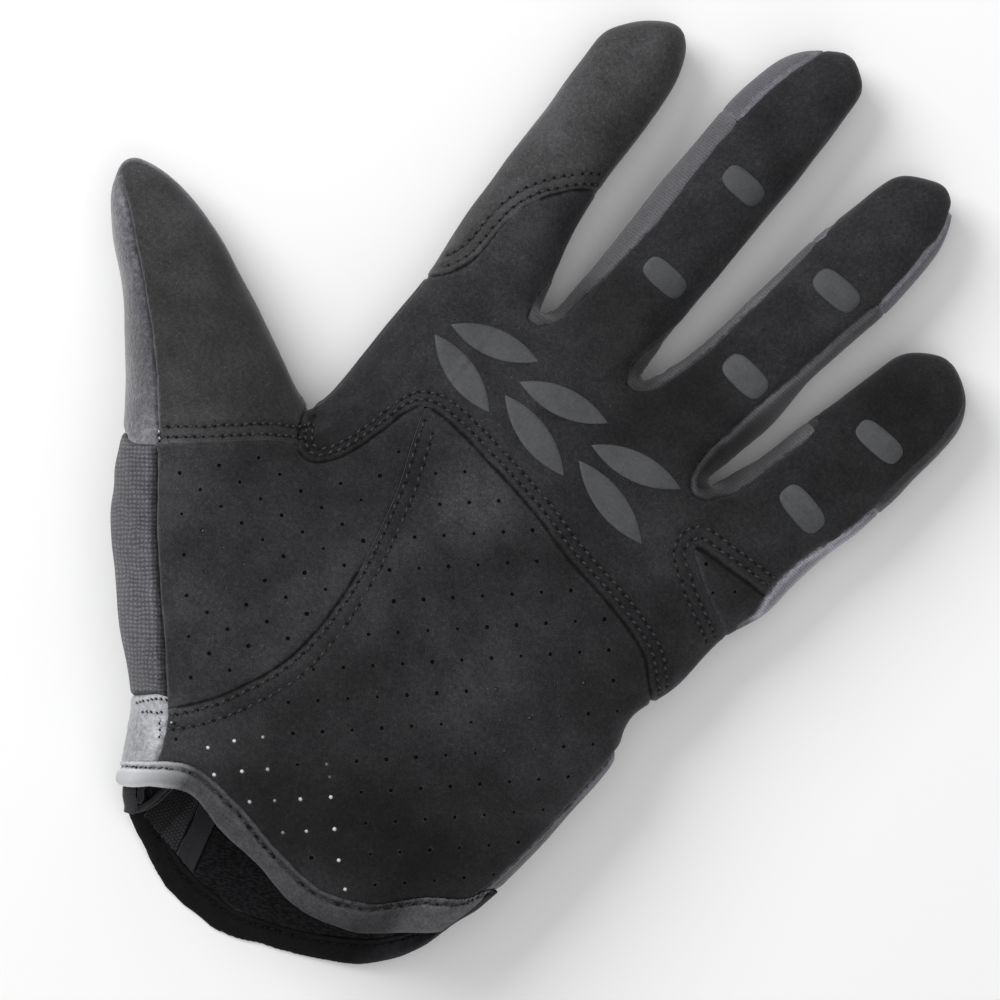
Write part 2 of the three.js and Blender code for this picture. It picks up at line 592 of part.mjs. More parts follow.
// Adds a solid to the glove as one named piece.
function addPiece(name, solid, finish) {
  const mesh = solid.getMesh();
  const geometry = new THREE.BufferGeometry();
  const points = new Float32Array(mesh.numVert * 3);
  for (let i = 0; i < mesh.numVert; i++) {
    points.set(mesh.vertProperties.subarray(i * mesh.numProp, i * mesh.numProp + 3), i * 3);
  }
  geometry.setAttribute("position", new THREE.BufferAttribute(points, 3));
  geometry.setIndex(new THREE.BufferAttribute(mesh.triVerts, 1));
  geometry.computeVertexNormals();
  const material = new THREE.MeshStandardMaterial({ metalness: 0, ...FINISHES[finish] });
  const piece = new THREE.Mesh(geometry, material);
  piece.name = name;
  glove.add(piece);
}

const outer = body(0);
const floorCut = prism([[-200, -200], [200, -200], [200, 200], [-200, 200]], -40, 0);
const shell = outer.subtract(body(-WALL)).subtract(floorCut);
const panelShell = shell.subtract(rimCutter("palmBinding", "backBinding", SEAM_GAP));

// The panels of the shell.
function addPanels() {
  const bodies = panelShell.subtract(seamCuts()).decompose();
  for (const { name, at, finish } of PANELS) {
    const box = new THREE.BoxGeometry(PROBE.x, PROBE.y, PROBE.z);
    const probe = solidOf(box.translate(...at));
    const shares = bodies.map((one) => one.intersect(probe).volume());
    const best = shares.indexOf(Math.max(...shares));
    if (shares[best] <= 0) throw new Error(name + " has no solid at its point");
    addPiece(name, bodies[best], finish);
  }
}

// The bound edges of the wrist opening.
function addBindings() {
  const thick = body(BINDING_PROUD).subtract(body(-WALL - BINDING_PROUD)).subtract(floorCut);
  const band = thick
    .intersect(rimCutter("palmBinding", "backBinding", 0))
    .subtract(rimCutter("palmEdge", "backEdge", 0))
    .subtract(partingSlab(RIM_SPLIT, SEAM_GAP, 60));
  const [first, second] = band.decompose();
  const firstIsPalm = first.boundingBox().max[2] > second.boundingBox().max[2];
  addPiece("palm_cuff_binding", firstIsPalm ? first : second, "binding");
  addPiece("back_cuff_binding", firstIsPalm ? second : first, "bindingDark");
}

// The pieces laid in the back of the hand.
function addInside() {
  const face = body(-WALL - LINING_GAP);
  const layer = face.subtract(body(-WALL - LINING_GAP - LINING_THICKNESS));
  const finishes = { lining_mesh: "lining", seam_tape: "tape", back_lining: "lining" };
  for (const { name, plan } of INSIDE_PLANS) {
    addPiece(name, layer.intersect(prism(plan, BELOW, INSIDE_CEILING)), finishes[name]);
  }
  const onBinding = -WALL - BINDING_PROUD - LINING_GAP;
  const fold = body(onBinding)
    .subtract(body(onBinding - LINING_THICKNESS))
    .intersect(prism(CUFF_FOLD_PLAN, BELOW, CUFF_FOLD_CEILING));
  addPiece("cuff_fold", fold, "tape");
}

// The grip pads on the palm side.
function addPads() {
  const layer = body(PAD_TOP).subtract(body(PAD_LIFT));
  const lowest = 12;
  const raise = (plan) => layer.intersect(prism(plan, lowest, ABOVE));
  LEAF_PADS.forEach((pad, i) => addPiece("leaf_pad_" + (i + 1), raise(leafPlan(pad)), "silicone"));
  FINGER_PADS.forEach((pad, i) => addPiece("finger_pad_" + (i + 1), raise(barPlan(pad)), "silicone"));
}

addPanels();
addBindings();
addInside();
addPads();

export default glove;
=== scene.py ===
"""Looks of a left-hand fishing glove that lies on its back, palm up.

Tables are in millimetres in the pattern frame: +Y along the fingers, +X to the little finger and +Z up out
of the palm.
"""

import math

import bpy
import numpy as np
from mathutils import Matrix, Vector


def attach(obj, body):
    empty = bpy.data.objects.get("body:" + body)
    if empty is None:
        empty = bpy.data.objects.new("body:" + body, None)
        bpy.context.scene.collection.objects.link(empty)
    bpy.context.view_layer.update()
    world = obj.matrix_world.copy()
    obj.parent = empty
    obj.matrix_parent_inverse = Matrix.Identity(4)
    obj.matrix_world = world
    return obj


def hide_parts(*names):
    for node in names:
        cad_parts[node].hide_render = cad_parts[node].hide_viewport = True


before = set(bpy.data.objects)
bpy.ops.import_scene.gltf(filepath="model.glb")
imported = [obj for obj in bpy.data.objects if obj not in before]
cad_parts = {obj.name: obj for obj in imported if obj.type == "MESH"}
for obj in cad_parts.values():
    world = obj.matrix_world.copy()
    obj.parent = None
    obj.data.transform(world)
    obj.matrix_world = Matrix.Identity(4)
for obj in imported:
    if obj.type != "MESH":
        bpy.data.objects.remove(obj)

bl_info = {
    "name": "Fishing glove",
    "version": (1, 0, 0),
    "blender": (4, 5, 0),
    "location": "3D View > Sidebar > Glove",
    "description": "Builds the soft panels, bindings, stitches and grip prints of a fishing glove",
    "category": "Object",
}

# Driving sizes, in millimetres.
ORIGIN = np.array([-21.2, 6.15, 0.0])  # of the part, in the pattern frame
CLOTH = 1.3  # a panel with its lining
SHELL = 1.6  # outside of the shell to its hollow
RESTING = 0.02  # height of the lowest cloth over the floor
TURNED_EDGE = 1.2  # reach of the roll along a sewn edge
SEAM_DEPTH = 0.8  # of that roll
NO_SEAM = 3.0  # distance to a seam that is given to pieces without one
TUCK = 0.8  # of a panel under its binding
TAPE_MIDDLE = 0.85  # depth of a binding's middle below the shell's skin
TAPE_HALF = 1.35  # half of a binding's thickness round the cloth
PRINT_RISE = 0.38  # of a grip print over its thin rim
PRINT_RIM = 0.06
PRINT_ROOT = 0.35  # of a grip print in the suede

# Height of a section's widest point as a share of its thickness, and its powers above and below that.
WIDEST = 0.45
UPPER_POWER = 2.3
LOWER_POWER = 3.0

# Grids on which the skin and the bindings are found, their boxes, and the step of the maps of the plan.
GRID = 0.8
SKIN_BOX = ((-121.0, -126.0, -3.2), (78.6, 134.0, 43.2))
RIM_GRID = 0.6
RIM_BOX = ((-42.0, -122.0, -3.0), (60.0, -70.0, 43.2))
PLAN_STEP = 0.5
FAR = 12.0  # distance given to the grid's points away from every form
FORM_MARGIN = 9.0  # round a form, within which its distance is worked out
SIDE_BLEND = 2.5  # over which the palm's relief goes over into the back's, each way
RELIEF_REACH = 3.0  # from the skin, within which the relief moves the field
SLOPE_REACH = 0.8  # over which the slope of a map is measured, each way

# Stitches: pitches, and for each kind the length, the thread's radius and the radius of its needle holes.
STITCH_PITCH = 2.45  # default of the setting that scales the pitches of the palm's rows
HOLE_PITCH = 2.2  # half of it lies between a stitch of the palm and its needle hole
TAB_PITCH = 1.6
CUFF_PITCH = 3.0
PALM_STITCH = (1.6, 0.27, 0.39)
TAB_STITCH = (1.0, 0.2, 0.34)
CUFF_STITCH = (1.9, 0.22, 0.42)
STITCH_SLANT = 17.0  # degrees from the row
STITCH_SIDES = 6
STITCH_STATIONS = (-1, -0.8, -0.35, 0.35, 0.8, 1.0)

# Air holes: the smallest and the largest radius, their sides, and two lattices: first hole and two steps.
HOLE_RADIUS = (0.36, 0.54)
HOLE_SIDES = 8
HEEL_LATTICE = ((0, -9.49), (4.93, 4.34), (5.04, -4.83))
BALL_LATTICE = ((-53.71, -39.06), (5.91, -0.06), (-0.06, 6.78))

# Stage: the camera's height in millimetres, its directions, lens and sensor, half the floor's side in metres,
# and each lamp's name, place and size in metres, and power in watts.
CAMERA_HEIGHT = 1012.0
CAMERA_AXES = ((0.788, 0.616, 0.0), (-0.616, 0.788, 0.0), (0.0, 0.0, 1.0))
CAMERA_LENS, CAMERA_SENSOR = 158.4, 36
FLOOR_HALF = 3.0
WORLD_LIGHT = 0.36
LAMPS = (
    ("key_softbox", (-0.85, 0.1, 0.77), 0.7, 9.0),
    ("top_softbox", (0.15, 0.1, 1.5), 1.2, 5.6),
    ("fill_softbox", (0.8, -0.5, 0.9), 0.9, 1.4),
)

# Sections of the hand, the fingers and the thumb: place along the heading, the outline's offsets to the
# left and to the right, and the lowest and the highest point.
COLUMNS = ("along", "left", "right", "bottom", "top")
HAND = {
    "origin": (0, 0),
    "heading": 90,
    "rows": [
        (-122, -21.8, 50.0, -0.4, 37.0),
        (-98, -31.6, 50.3, -0.4, 37.8),
        (-86, -38.6, 51.2, -0.4, 38.8),
        (-76, -50.0, 52.6, -0.4, 39.6),
        (-65, -60.0, 54.6, -0.4, 40.0),
        (-54, -66.5, 55.8, -0.4, 39.2),
        (-44, -66.0, 56.4, -0.4, 38.0),
        (-33, -58.0, 57.0, -0.4, 36.4),
        (-21, -50.0, 53.7, -0.4, 34.4),
        (-8, -45.6, 57.6, -0.4, 32.4),
        (6, -44.9, 58.8, -0.4, 30.4),
        (18, -44.7, 62.9, -0.4, 28.2),
        (30.4, -43.6, 56.0, 0.0, 25.8),
        (33, -42.0, 34.0, 0.8, 24.8),
        (37.4, -38.0, 21.0, 1.4, 23.2),
        (38.8, -21.5, 15.0, 2.2, 21.6),
        (39.7, -15.5, 13.0, 3.4, 20.2),
        (41.1, 6.6, 10.6, 7.0, 15.0),
    ],
}
INDEX = {
    "origin": (0, 0),
    "heading": 90,
    "rows": [
        (14, -40.0, -23.0, 3.0, 25.4),
        (37, -45.3, -19.9, 0.5, 24.2),
        (58, -46.5, -24.1, 0.5, 22.4),
        (72, -46.7, -25.4, 0.6, 21.4),
        (97, -47.2, -26.4, 1.0, 18.8),
        (105.5, -42.2, -29.0, 2.2, 16.6),
        (109, -37.6, -31.6, 4.6, 13.6),
        (109.9, -35.6, -33.2, 7.0, 11.0),
    ],
}
MIDDLE = {
    "origin": (0, 0),
    "heading": 90,
    "rows": [
        (20, -18.5, 8.0, 3.0, 25.6),
        (45, -16.0, 7.1, 0.5, 24.2),
        (74, -16.0, 7.9, 0.6, 22.2),
        (101, -14.9, 8.8, 1.0, 19.8),
        (117, -12.1, 8.6, 1.5, 17.8),
        (124, -7.8, 7.9, 3.0, 15.4),
        (127.3, -3.4, 4.8, 4.8, 13.2),
        (128.9, -0.6, 1.6, 7.0, 11.0),
    ],
}
RING = {
    "origin": (0, 0),
    "heading": 90,
    "rows": [
        (16, 8.5, 31.0, 3.0, 26.0),
        (41, 10.0, 35.5, 0.5, 24.2),
        (51, 13.5, 37.9, 0.5, 23.4),
        (66, 16.3, 39.0, 0.6, 22.2),
        (90, 19.2, 43.1, 1.0, 20.0),
        (104, 22.7, 44.1, 1.2, 18.8),
        (114.5, 26.0, 41.5, 3.0, 15.8),
        (117.4, 31.0, 39.0, 4.8, 13.4),
        (118.9, 34.6, 36.6, 7.0, 11.0),
    ],
}
LITTLE = {
    "origin": (0, 0),
    "heading": 90,
    "rows": [
        (6, 36.0, 57.0, 3.0, 24.0),
        (18, 35.8, 62.5, 1.0, 24.4),
        (36, 38.2, 66.5, 0.5, 23.0),
        (44, 41.3, 69.0, 0.5, 22.2),
        (56, 43.9, 70.8, 0.7, 20.8),
        (76, 49.7, 72.8, 1.2, 18.2),
        (82, 51.2, 71.2, 2.0, 16.6),
        (86, 55.0, 67.2, 3.8, 14.4),
        (88.2, 59.2, 62.6, 6.8, 11.0),
    ],
}
THUMB = {
    "origin": (-40, -33),
    "heading": 150.88,
    "rows": [
        (-12, -26.0, 10.0, 3.0, 37.0),
        (2, -33.0, 14.0, 1.0, 38.5),
        (20, -30.2, 15.6, 0.6, 36.6),
        (29, -23.8, 15.4, 1.0, 34.4),
        (40, -18.8, 14.7, 1.6, 31.4),
        (60, -11.8, 13.2, 3.0, 26.6),
        (70, -9.6, 11.0, 4.0, 24.0),
        (81.4, -5.0, 5.8, 7.4, 19.6),
        (85.4, -1.2, 2.4, 10.6, 15.8),
    ],
}
# Each form with the softness of its join to those before it.
FORMS = ((HAND, 0.0), (INDEX, 3.5), (MIDDLE, 3.5), (RING, 3.5), (LITTLE, 3.5), (THUMB, 7.0))

# Heights at which the palm side is sewn to the rest: y, then x and z at the left and at the right.
HAND_PARTING = (
    (-130, -48, 14, 60, 27),
    (-78, -48, 14, 60, 27),
    (-55, -48, 14, 60, 24),
    (-30, -48, 14, 60, 19),
    (10, -48, 14.5, 60, 16.5),
    (28, -48, 15, 60, 16.5),
)
FINGER_PARTINGS = (
    (
        (28, -60, 14.9, -19.3, 15.4),
        (43, -60, 14.2, -18.8, 15.8),
        (60, -60, 13.6, -19.8, 14.8),
        (98, -60, 12.2, -20.5, 13.2),
        (106, -60, 10.6, -20.5, 10.8),
        (136, -60, 10, -20.5, 10),
    ),
    (
        (28, -19.3, 15.4, 8.2, 15.9),
        (43, -18.8, 15.8, 8.8, 15.4),
        (60, -19.8, 15.6, 12, 14.6),
        (110, -20.5, 14.6, 16.5, 13),
        (125, -20.5, 12.4, 18.5, 10),
        (136, -20.5, 10, 19.5, 9),
    ),
    (
        (28, 8.2, 15.9, 35.4, 16.2),
        (43, 8.8, 15.4, 38.5, 16.6),
        (60, 12, 14.6, 41.5, 19),
        (104, 16, 13.2, 54, 16.6),
        (115, 17.5, 10.4, 57, 11.6),
        (136, 19.5, 9, 62, 10),
    ),
    (
        (28, 35.4, 16.2, 85, 17),
        (43, 38.5, 16.6, 85, 17),
        (56, 40.6, 15.6, 85, 17),
        (76, 46, 13.4, 85, 15),
        (85, 48.6, 11.4, 85, 11),
        (100, 52.9, 10, 85, 10),
    ),
)
FOURCHETTE_LOW = 5.0  # lower edge of the strips between the fingers

# Regions of the plan: a sewn line, and the points beyond the glove that close it. Inside is positive.
REGIONS = {
    "palm of thumb seam": (
        [
            (-121, 9.5), (-114.6, 5.3), (-107, 0.2), (-100, -5.8), (-90, -14.3), (-80, -23.5), (-70, -34.8),
            (-60, -48), (-50, -60), (-40, -71), (-30, -83), (-25.2, -93.5), (-23, -110),
        ],
        [(-23, -140), (110, -140), (110, 160), (-140, 160), (-140, 20)],
    ),
    "hand of thumb back seam": (
        [
            (-47.7, -4), (-47.3, -12), (-50.5, -22), (-51, -36), (-46, -54), (-39, -68), (-32.6, -80.8),
            (-29, -92), (-26, -125),
        ],
        [(-26, -140), (110, -140), (110, 160), (-60, 160), (-47.7, 10)],
    ),
    "fingers": (
        [
            (-50, -5), (-46.8, -11.5), (-43.6, -17.2), (-40.5, -19.4), (-37, -18), (-33.5, -13), (-31, -6),
            (-29, 2), (-26.4, 6), (-20, 6.8), (-8, 5.3), (8, 2.4), (20, -0.9), (34, -3.4), (46, -7),
            (52, -12), (58, -17.5), (66, -25),
        ],
        [(110, -60), (140, 160), (-100, 160), (-70, 20)],
    ),
    "thumb front": (
        [(-79.5, -46.2), (-68.5, -37.6), (-59.5, -30.5), (-49.5, -21.9), (-43.1, -17.9), (-41, -15.5)],
        [(-38, -5), (-36, 10), (-36, 60), (-140, 60), (-140, -20)],
    ),
    "heel": (
        [
            (-26.4, 6.5), (-23, -3), (-20, -10.5), (-17.4, -20), (-15, -32), (-14, -44), (-14.9, -55),
            (-16.8, -61.6), (-18.9, -66.2), (-21, -70.5), (-23.4, -74.5), (-26.2, -78.3), (-29.3, -81.7),
            (-33, -85.2),
        ],
        [(-40, -100), (-40, -140), (110, -140), (110, 40), (-26, 40)],
    ),
    "index tip": (
        [
            (-50, 27), (-43.5, 30.4), (-39.6, 35.2), (-37.8, 41), (-37.5, 50), (-35.6, 57), (-32, 62.6),
            (-28, 66.8), (-22, 71.6),
        ],
        [(-19.5, 80), (-19.5, 140), (-70, 140), (-70, 20)],
    ),
    "gusset": ([], [(75, 20), (41.6, 19.2), (41.2, 17.6), (49, 12.4), (75, -0.5)]),
    "thumb back": (
        [(-50, -34), (-66.5, -37.2), (-70, -39.0), (-72.1, -40.2), (-75.6, -40.4), (-84, -38)],
        [(-100, -20), (-140, 0), (-140, 60), (-40, 60), (-40, -32)],
    ),
    "cuff tab": (
        [],
        [(-20, -74), (-31.8, -80.6), (-33.8, -81.4), (-43, -90.5), (-60, -110), (-60, -140), (-20, -140)],
    ),
    "index end": ([], [(-55, 98.2), (-19.5, 88.1), (-19.5, 140), (-55, 140)]),
    "middle end": ([], [(-19.5, 102.1), (14, 96.2), (19.4, 140), (-19.5, 140)]),
    "ring end": ([], [(14, 91.2), (52, 85.8), (56, 140), (18, 140)]),
    "little end": ([], [(40, 58), (85, 46.7), (85, 120), (46, 120)]),
    "index to middle": ([], [(-33, 24), (-3.4, 24), (-3.4, 99.2), (-18, 101.8), (-22, 88.8), (-35.6, 92.7)]),
    "middle to ring": ([], [(-4, 24), (31, 24), (31, 88.8), (16, 90.9), (12, 96.6), (-3.4, 99.3)]),
    "ring to little": ([], [(22, 24), (57.4, 24), (57.4, 53.8), (41.8, 57.5), (47, 86.5), (31, 88.8)]),
    "index gap": (
        [
            (-23, 66), (-22.4, 60), (-21.8, 54), (-21.1, 47), (-21.4, 42.1), (-20.9, 38.5), (-20.3, 36.6),
            (-19.1, 36.1), (-17, 37), (-15.3, 39.4), (-14.2, 43), (-13.8, 47), (-12.7, 54), (-11.8, 61.4),
            (-11.3, 67.4), (-10.9, 73.5), (-11.2, 90), (-10.5, 100), (-10, 107), (-8.5, 115), (-7, 120),
            (-5.8, 125), (-4, 131),
        ],
        [(-16, 134), (-22, 110), (-25, 90), (-24.4, 75)],
    ),
    "middle gap": (
        [
            (8.8, 60), (7.5, 54), (6.2, 48.8), (5.4, 46), (5.1, 43.2), (5.5, 40.8), (6.2, 39), (7, 38.4),
            (8.7, 38.3), (10.1, 39.3), (11.7, 41.3), (12.8, 44.5), (13.8, 48), (14.7, 51.3), (16.1, 56.7),
            (17.3, 65.7), (19.9, 88), (20.4, 94), (20.4, 98), (19, 101), (16.5, 103),
        ],
        [(14, 100), (10.5, 80), (8.6, 66)],
    ),
    "ring gap": (
        [
            (39, 121), (41, 114), (42.5, 110), (43, 104), (41.5, 96), (40.5, 88), (38.5, 78), (36, 65),
            (34.6, 60), (33.1, 53.1), (32.1, 47.8), (31.4, 42.9), (30.3, 37.7), (30.2, 34.4), (31, 30.4),
            (32.4, 28.4), (34.4, 28), (36.8, 29), (38.3, 31.1), (40.9, 34.9), (42.6, 40.9), (44.2, 47.1),
            (45.6, 52.6), (46.2, 56.2), (44.6, 58.4), (44.4, 62), (46, 70), (48.4, 77),
            (50.2, 84),
        ],
        [(52, 90), (50, 121)],
    ),
    "little outer": (
        [(62.5, 13), (61, 20), (62, 30), (65.5, 40), (69, 50), (70.6, 60), (72.2, 75), (70.8, 86)],
        [(80, 92), (84, 40), (72, 10)],
    ),
    "palm outer": (
        [(56.1, -27), (55.7, -32), (54.7, -50), (53.2, -65), (51.2, -73), (47.7, -82)],
        [(70, -84), (70, -27)],
    ),
    "index whole": (
        [],
        [
            (-60, 28), (-30, 28), (-25.5, 38), (-22.6, 42.5), (-20.9, 46), (-20.5, 50), (-20.5, 60),
            (-20, 110), (-30, 125), (-60, 125),
        ],
    ),
    "middle right": (
        [],
        [(3, 49), (9, 48), (16, 112), (18, 128), (2, 134), (-5, 131), (-4.5, 122), (2, 112)],
    ),
    "ring top": (
        [],
        [(16, 99), (24, 91), (34, 104), (38, 107.5), (42, 118), (36, 124), (20, 122), (15, 108)],
    ),
    "little left": ([], [(41, 60.2), (50, 58), (55, 74), (58, 82), (62, 91), (50, 92), (42, 76)]),
    "palm middle": ([], [(48, -30), (62, -30), (66, 8), (60, 10), (50, 0)]),
}
# Bottoms of the gaps beside the fingers and the thumb: the number of circles that fill each, and x, y and
# half-width at the bottom, and again further up.
CROTCH_STEPS = 14
CROTCHES = (
    (-18.7, 40.2, 1.1, -20.2, 60, 4.1),
    (8.6, 42.2, 1.1, 9.6, 46.5, 2.3),
    (35.2, 33, 1.1, 37.6, 40, 1.6),
    (-47.1, -9.8, 0.7, -49.4, -5.8, 2.8),
)

# Where the side cloth shows from the front, and where the palm side wraps SIDE_DROP further round instead.
OPEN_SIDES = ("index gap", "middle gap", "ring gap", "little outer", "palm outer")
WRAPPED_SIDES = ("index whole", "middle right", "palm middle", "little left", "ring top")
SIDE_DROP = 6.5

# The wrist opening: x, edge and binding line on the palm side, then edge and binding line on the back.
RIM = (
    (-60, -120, -114, -122, -116),
    (-34, -107, -101, -109, -103),
    (-28.5, -103.1, -95.6, -105, -98.5),
    (-22, -96.6, -90.4, -111.1, -104.1),
    (-14, -93.8, -87.9, -114.1, -107.7),
    (-4, -96.0, -88.7, -117.9, -110.7),
    (8, -97.2, -91.1, -118.4, -111.4),
    (20, -99.2, -92.4, -114.4, -107.6),
    (32, -96.3, -88.6, -108.9, -102.1),
    (42, -87.8, -78.0, -102.9, -95.5),
    (49, -80.5, -71.4, -93.8, -86.0),
    (51.5, -76.5, -68.0, -84, -77.5),
    (62, -64, -56, -68, -62),
)
RIM_LOW, RIM_HIGH = 2.0, 35.0

# The bindings' stitch rows: the side, the distance from the binding's inner line, and the depth.
BINDING_ROWS = (("palm", 1.7, 1.1), ("back", 2.0, 0.55))

# Folded tape in the corner of the opening: half its width and height, rise over the lining and line.
CORNER_FOLDS = (
    (
        0.65, 0.5, 2.6,
        [(-22.6, -108.1), (-21.2, -105.7), (-20.2, -102.9), (-19.9, -100.7), (-19.5, -98.0), (-19.3, -94)],
    ),
    (
        0.3, 0.3, 2.3,
        [(-21.6, -107.4), (-20.1, -105.2), (-19.1, -102.6), (-18.7, -100.2), (-18.4, -97.6), (-18.3, -94)],
    ),
    (1.5, 0.6, 2.8, [(-22.4, -108.2), (-23.4, -106.6), (-25.2, -104.8), (-26.6, -102.6)]),
    (0.8, 0.5, 2.2, [(-22.6, -105.4), (-22.8, -104.0), (-24, -102.2), (-24.2, -98)]),
)

# Sheets inside the opening: four corners in the plan, points along and across, rise over the inner face.
NET_SHEET = ([(-19.5, -107.0), (-8.9, -109.4), (-20.6, -58), (-29, -58)], (30, 60), 1.2)
RIBBON_SHEET = ([(-8.2, -109.5), (-3, -110.8), (-16, -58), (-20.4, -58)], (10, 60), 1.5)
CREPE_SHEET = ([(-2.3, -111.0), (38, -97.5), (40, -58), (-15.3, -58)], (70, 80), 1.2)

# Stitch rows on the cuff tab and the bar tack on the thumb, as lines of the plan.
TAB_ROWS = (
    [(-36.6, -86.6), (-35.1, -84.3), (-34.3, -83.3), (-33.2, -82.0), (-31.7, -80.9), (-31.0, -80.6)],
    [(-34.4, -87.2), (-33.2, -85.9), (-32.2, -85.1), (-31.3, -84.4), (-30.2, -83.4), (-29.8, -83.1)],
    [(-30.2, -84.4), (-28.6, -86.2), (-26.9, -88.3)],
    [(-27.7, -84.3), (-26.5, -83.5)],
)
BAR_TACK = [(-69.7, -33.9), (-67.6, -36.2)]

# Holes of the heel through which the pale lining shows: x, y and how dark its painted shade is there.
PALE_HOLES = (
    (-17.2, -83.1, 0.3), (-13.5, -78.2, 0.35), (-9, -73.6, 0.6), (-12.4, -87, 0.2), (-8, -82.5, 0.35),
    (-3.8, -78.6, 0.55), (5.8, -69.6, 0.76), (8.1, -71.4, 0.8), (-2.5, -86.8, 0.5), (1.7, -83.1, 0.68),
    (6, -79.3, 0.45), (11, -74.8, 0.25), (7.5, -87.6, 0.7), (11.4, -84.1, 0.5), (16, -79.9, 0.2),
    (21, -84.8, 0.3), (26.1, -89.1, 0.4),
)
# Holes of the heel and the ball whose painted shade is less black, and the holes of the gusset.
GREY_HOLES = (
    (-47.5, -45.9), (-41.5, -46), (-35.6, -46), (-41.6, -52.7), (-35.7, -52.9), (26, -33.3), (31.3, -38.2),
    (35.9, -34), (36.2, -43.4), (40.8, -38.9), (35.3, -24.7), (30.9, -28.7), (39.5, -20), (40.3, -29.2),
)
GUSSET_HOLES = ((45.3, 17.2), (50.5, 13.0), (54.3, 16.2))

# Stitch rows on the palm side: the map that they follow, their distance inside its edge, the stretch kept
# and the pitch.
STITCH_ROWS = (
    ("finger rows", 1.8, (-52, 58, -20, 12), 2.2),
    ("finger rows", 3.8, (-52, 58, -20, 14), 2.2),
    ("heel rows", 1.3, (-34, -10, -88, 5), 2.5),
    ("heel rows", 4.6, (-34, -8, -88, 3), 2.5),
    ("index tip", 1.5, (-50, -20, 26, 76), 2.2),
    ("index tip", 3.6, (-50, -20, 26, 76), 2.2),
    ("thumb front", 1.5, (-76, -43, -43, -12), 2.05),
    ("thumb front", 3.8, (-76, -43, -43, -12), 2.05),
    ("gusset", -2.3, (37, 62, 0, 26), 2.4),
    ("gusset", -4.7, (36, 62, 0, 28), 2.4),
)

# Dent at the root of the index finger: centre, radius and depth; and the folds beside it: line and depth.
ROOT_DENT = (-40.5, -13.8, 4.0, 1.9)
ROOT_FOLDS = (
    ([(-44, -12), (-37, -4)], 0.6),
    ([(-39, -11), (-29, 1)], 0.4),
    ([(-43, -7), (-38, 6)], 0.35),
)

# A thin pale cord along the ball's inner seam, a painted highlight of the seam's edge: the stretch of the
# plan where it shows, and its radius.
SEAM_HIGHLIGHT_WINDOW = (-27, -14, -31, 5)
SEAM_HIGHLIGHT_RADIUS = 0.07

# Patches of the suede, each a centre, a radius and the share by which it is lighter or darker: some are
# brushed, worn and soiled spots, others painted light and shade, such as the dark hollow of the dent at the
# root of the index finger and the paler patch low on the index finger.
WEAR_AND_SHADE_PATCHES = (
    (-4, -6, 8.6, 1.15),
    (-48, -58, 16, 0.3),
    (-66, -36, 9, 0.25),
    (-38, 92, 16, 0.25),
    (-104, 5, 10, 0.3),
    (14, -84, 20, -0.4),
    (26, 20, 13, -0.2),
    (64, 60, 16, -0.25),
    (-38.8, -15.0, 4.0, -0.6),
    (-38, -4.8, 3, -0.3),
    (38, -62, 16, -0.12),
    (10, 36, 10, -0.2),
    (-6.8, 48.9, 12, -0.45),
    (4, 112, 9, 0.2),
    (-38.9, 24, 10, 0.44),
    (25, -50, 14, 0.15),
    (-24, -82, 8, 0.9),
    (-9, -83, 11, -0.34),
    (5, -86, 9, -0.15),
    (-30, -62, 12, 0.28),
    (18.8, 48.9, 12, -0.5),
    (57.6, 73.9, 14, -0.45),
    (46, 30, 12, -0.25),
    (33.9, -72.2, 16, -0.6),
    (38, -12.5, 16, -0.25),
    (-2.4, -58, 16, -0.25),
    (-40, -40, 14, -0.18),
    (-82, -9, 30, -0.34),
    (-36, 60, 22, 0.12),
)

# Grip prints: centre, length, width and turn in degrees.
LEAF_PRINTS = (
    (-22.6, 27.0, 21.5, 6.6, 15),
    (-2.2, 26.0, 22.0, 6.6, 13),
    (19.5, 24.6, 22.5, 6.6, 12),
    (-24.2, 17.1, 21.5, 6.6, -17),
    (-2.8, 16.1, 22.5, 6.6, -16),
    (19.8, 14.8, 23.5, 6.6, -15),
)
FINGER_PRINTS = (
    (-0.4, 89.6, 10.4, 6.0, -3),
    (-1.6, 62.3, 10.8, 5.9, -3),
    (30.7, 83.9, 11.6, 6.5, -2),
    (26.4, 55.9, 11.4, 6.6, -6),
    (59.3, 63.0, 12.0, 5.8, -3),
    (54.8, 40.3, 12.0, 6.4, -12),
)


def linear(code):
    """An sRGB hex colour as linear: ((c + 0.055) / 1.055) ** 2.4, or c / 12.92 near black."""
    parts = [int(code[i : i + 2], 16) / 255 for i in (1, 3, 5)]
    return tuple(((c + 0.055) / 1.055) ** 2.4 if c > 0.04045 else c / 12.92 for c in parts) + (1.0,)


def smooth(xs, ys, at):
    """Monotone cubic through points: Hermite pieces, whose slopes are harmonic means of both sides'."""
    xs, ys = np.asarray(xs, float), np.asarray(ys, float)
    gap = np.diff(xs)
    rise = np.diff(ys) / gap
    slope = np.zeros_like(ys)
    slope[0], slope[-1] = rise[0], rise[-1]
    before, after = 2 * gap[1:] + gap[:-1], gap[1:] + 2 * gap[:-1]
    same = rise[1:] * rise[:-1] > 0
    safe = np.where(same, rise[:-1], 1.0), np.where(same, rise[1:], 1.0)
    slope[1:-1] = np.where(same, (before + after) / (before / safe[0] + after / safe[1]), 0.0)
    k = np.clip(np.searchsorted(xs, at, side="right") - 1, 0, len(xs) - 2)
    t = np.clip((at - xs[k]) / gap[k], 0, 1)
    return (
        ys[k] * (1 + 2 * t) * (1 - t) ** 2
        + slope[k] * gap[k] * t * (1 - t) ** 2
        + ys[k + 1] * t * t * (3 - 2 * t)
        - slope[k + 1] * gap[k] * t * t * (1 - t)
    )


def step_up(value, low, high):
    """0 below low, 1 above high, and 3t² - 2t³ between them."""
    t = np.clip((value - low) / (high - low), 0, 1)
    return t * t * (3 - 2 * t)


def bell(value, width):
    """exp(-(value / width)²)."""
    return np.exp(-((value / width) ** 2))


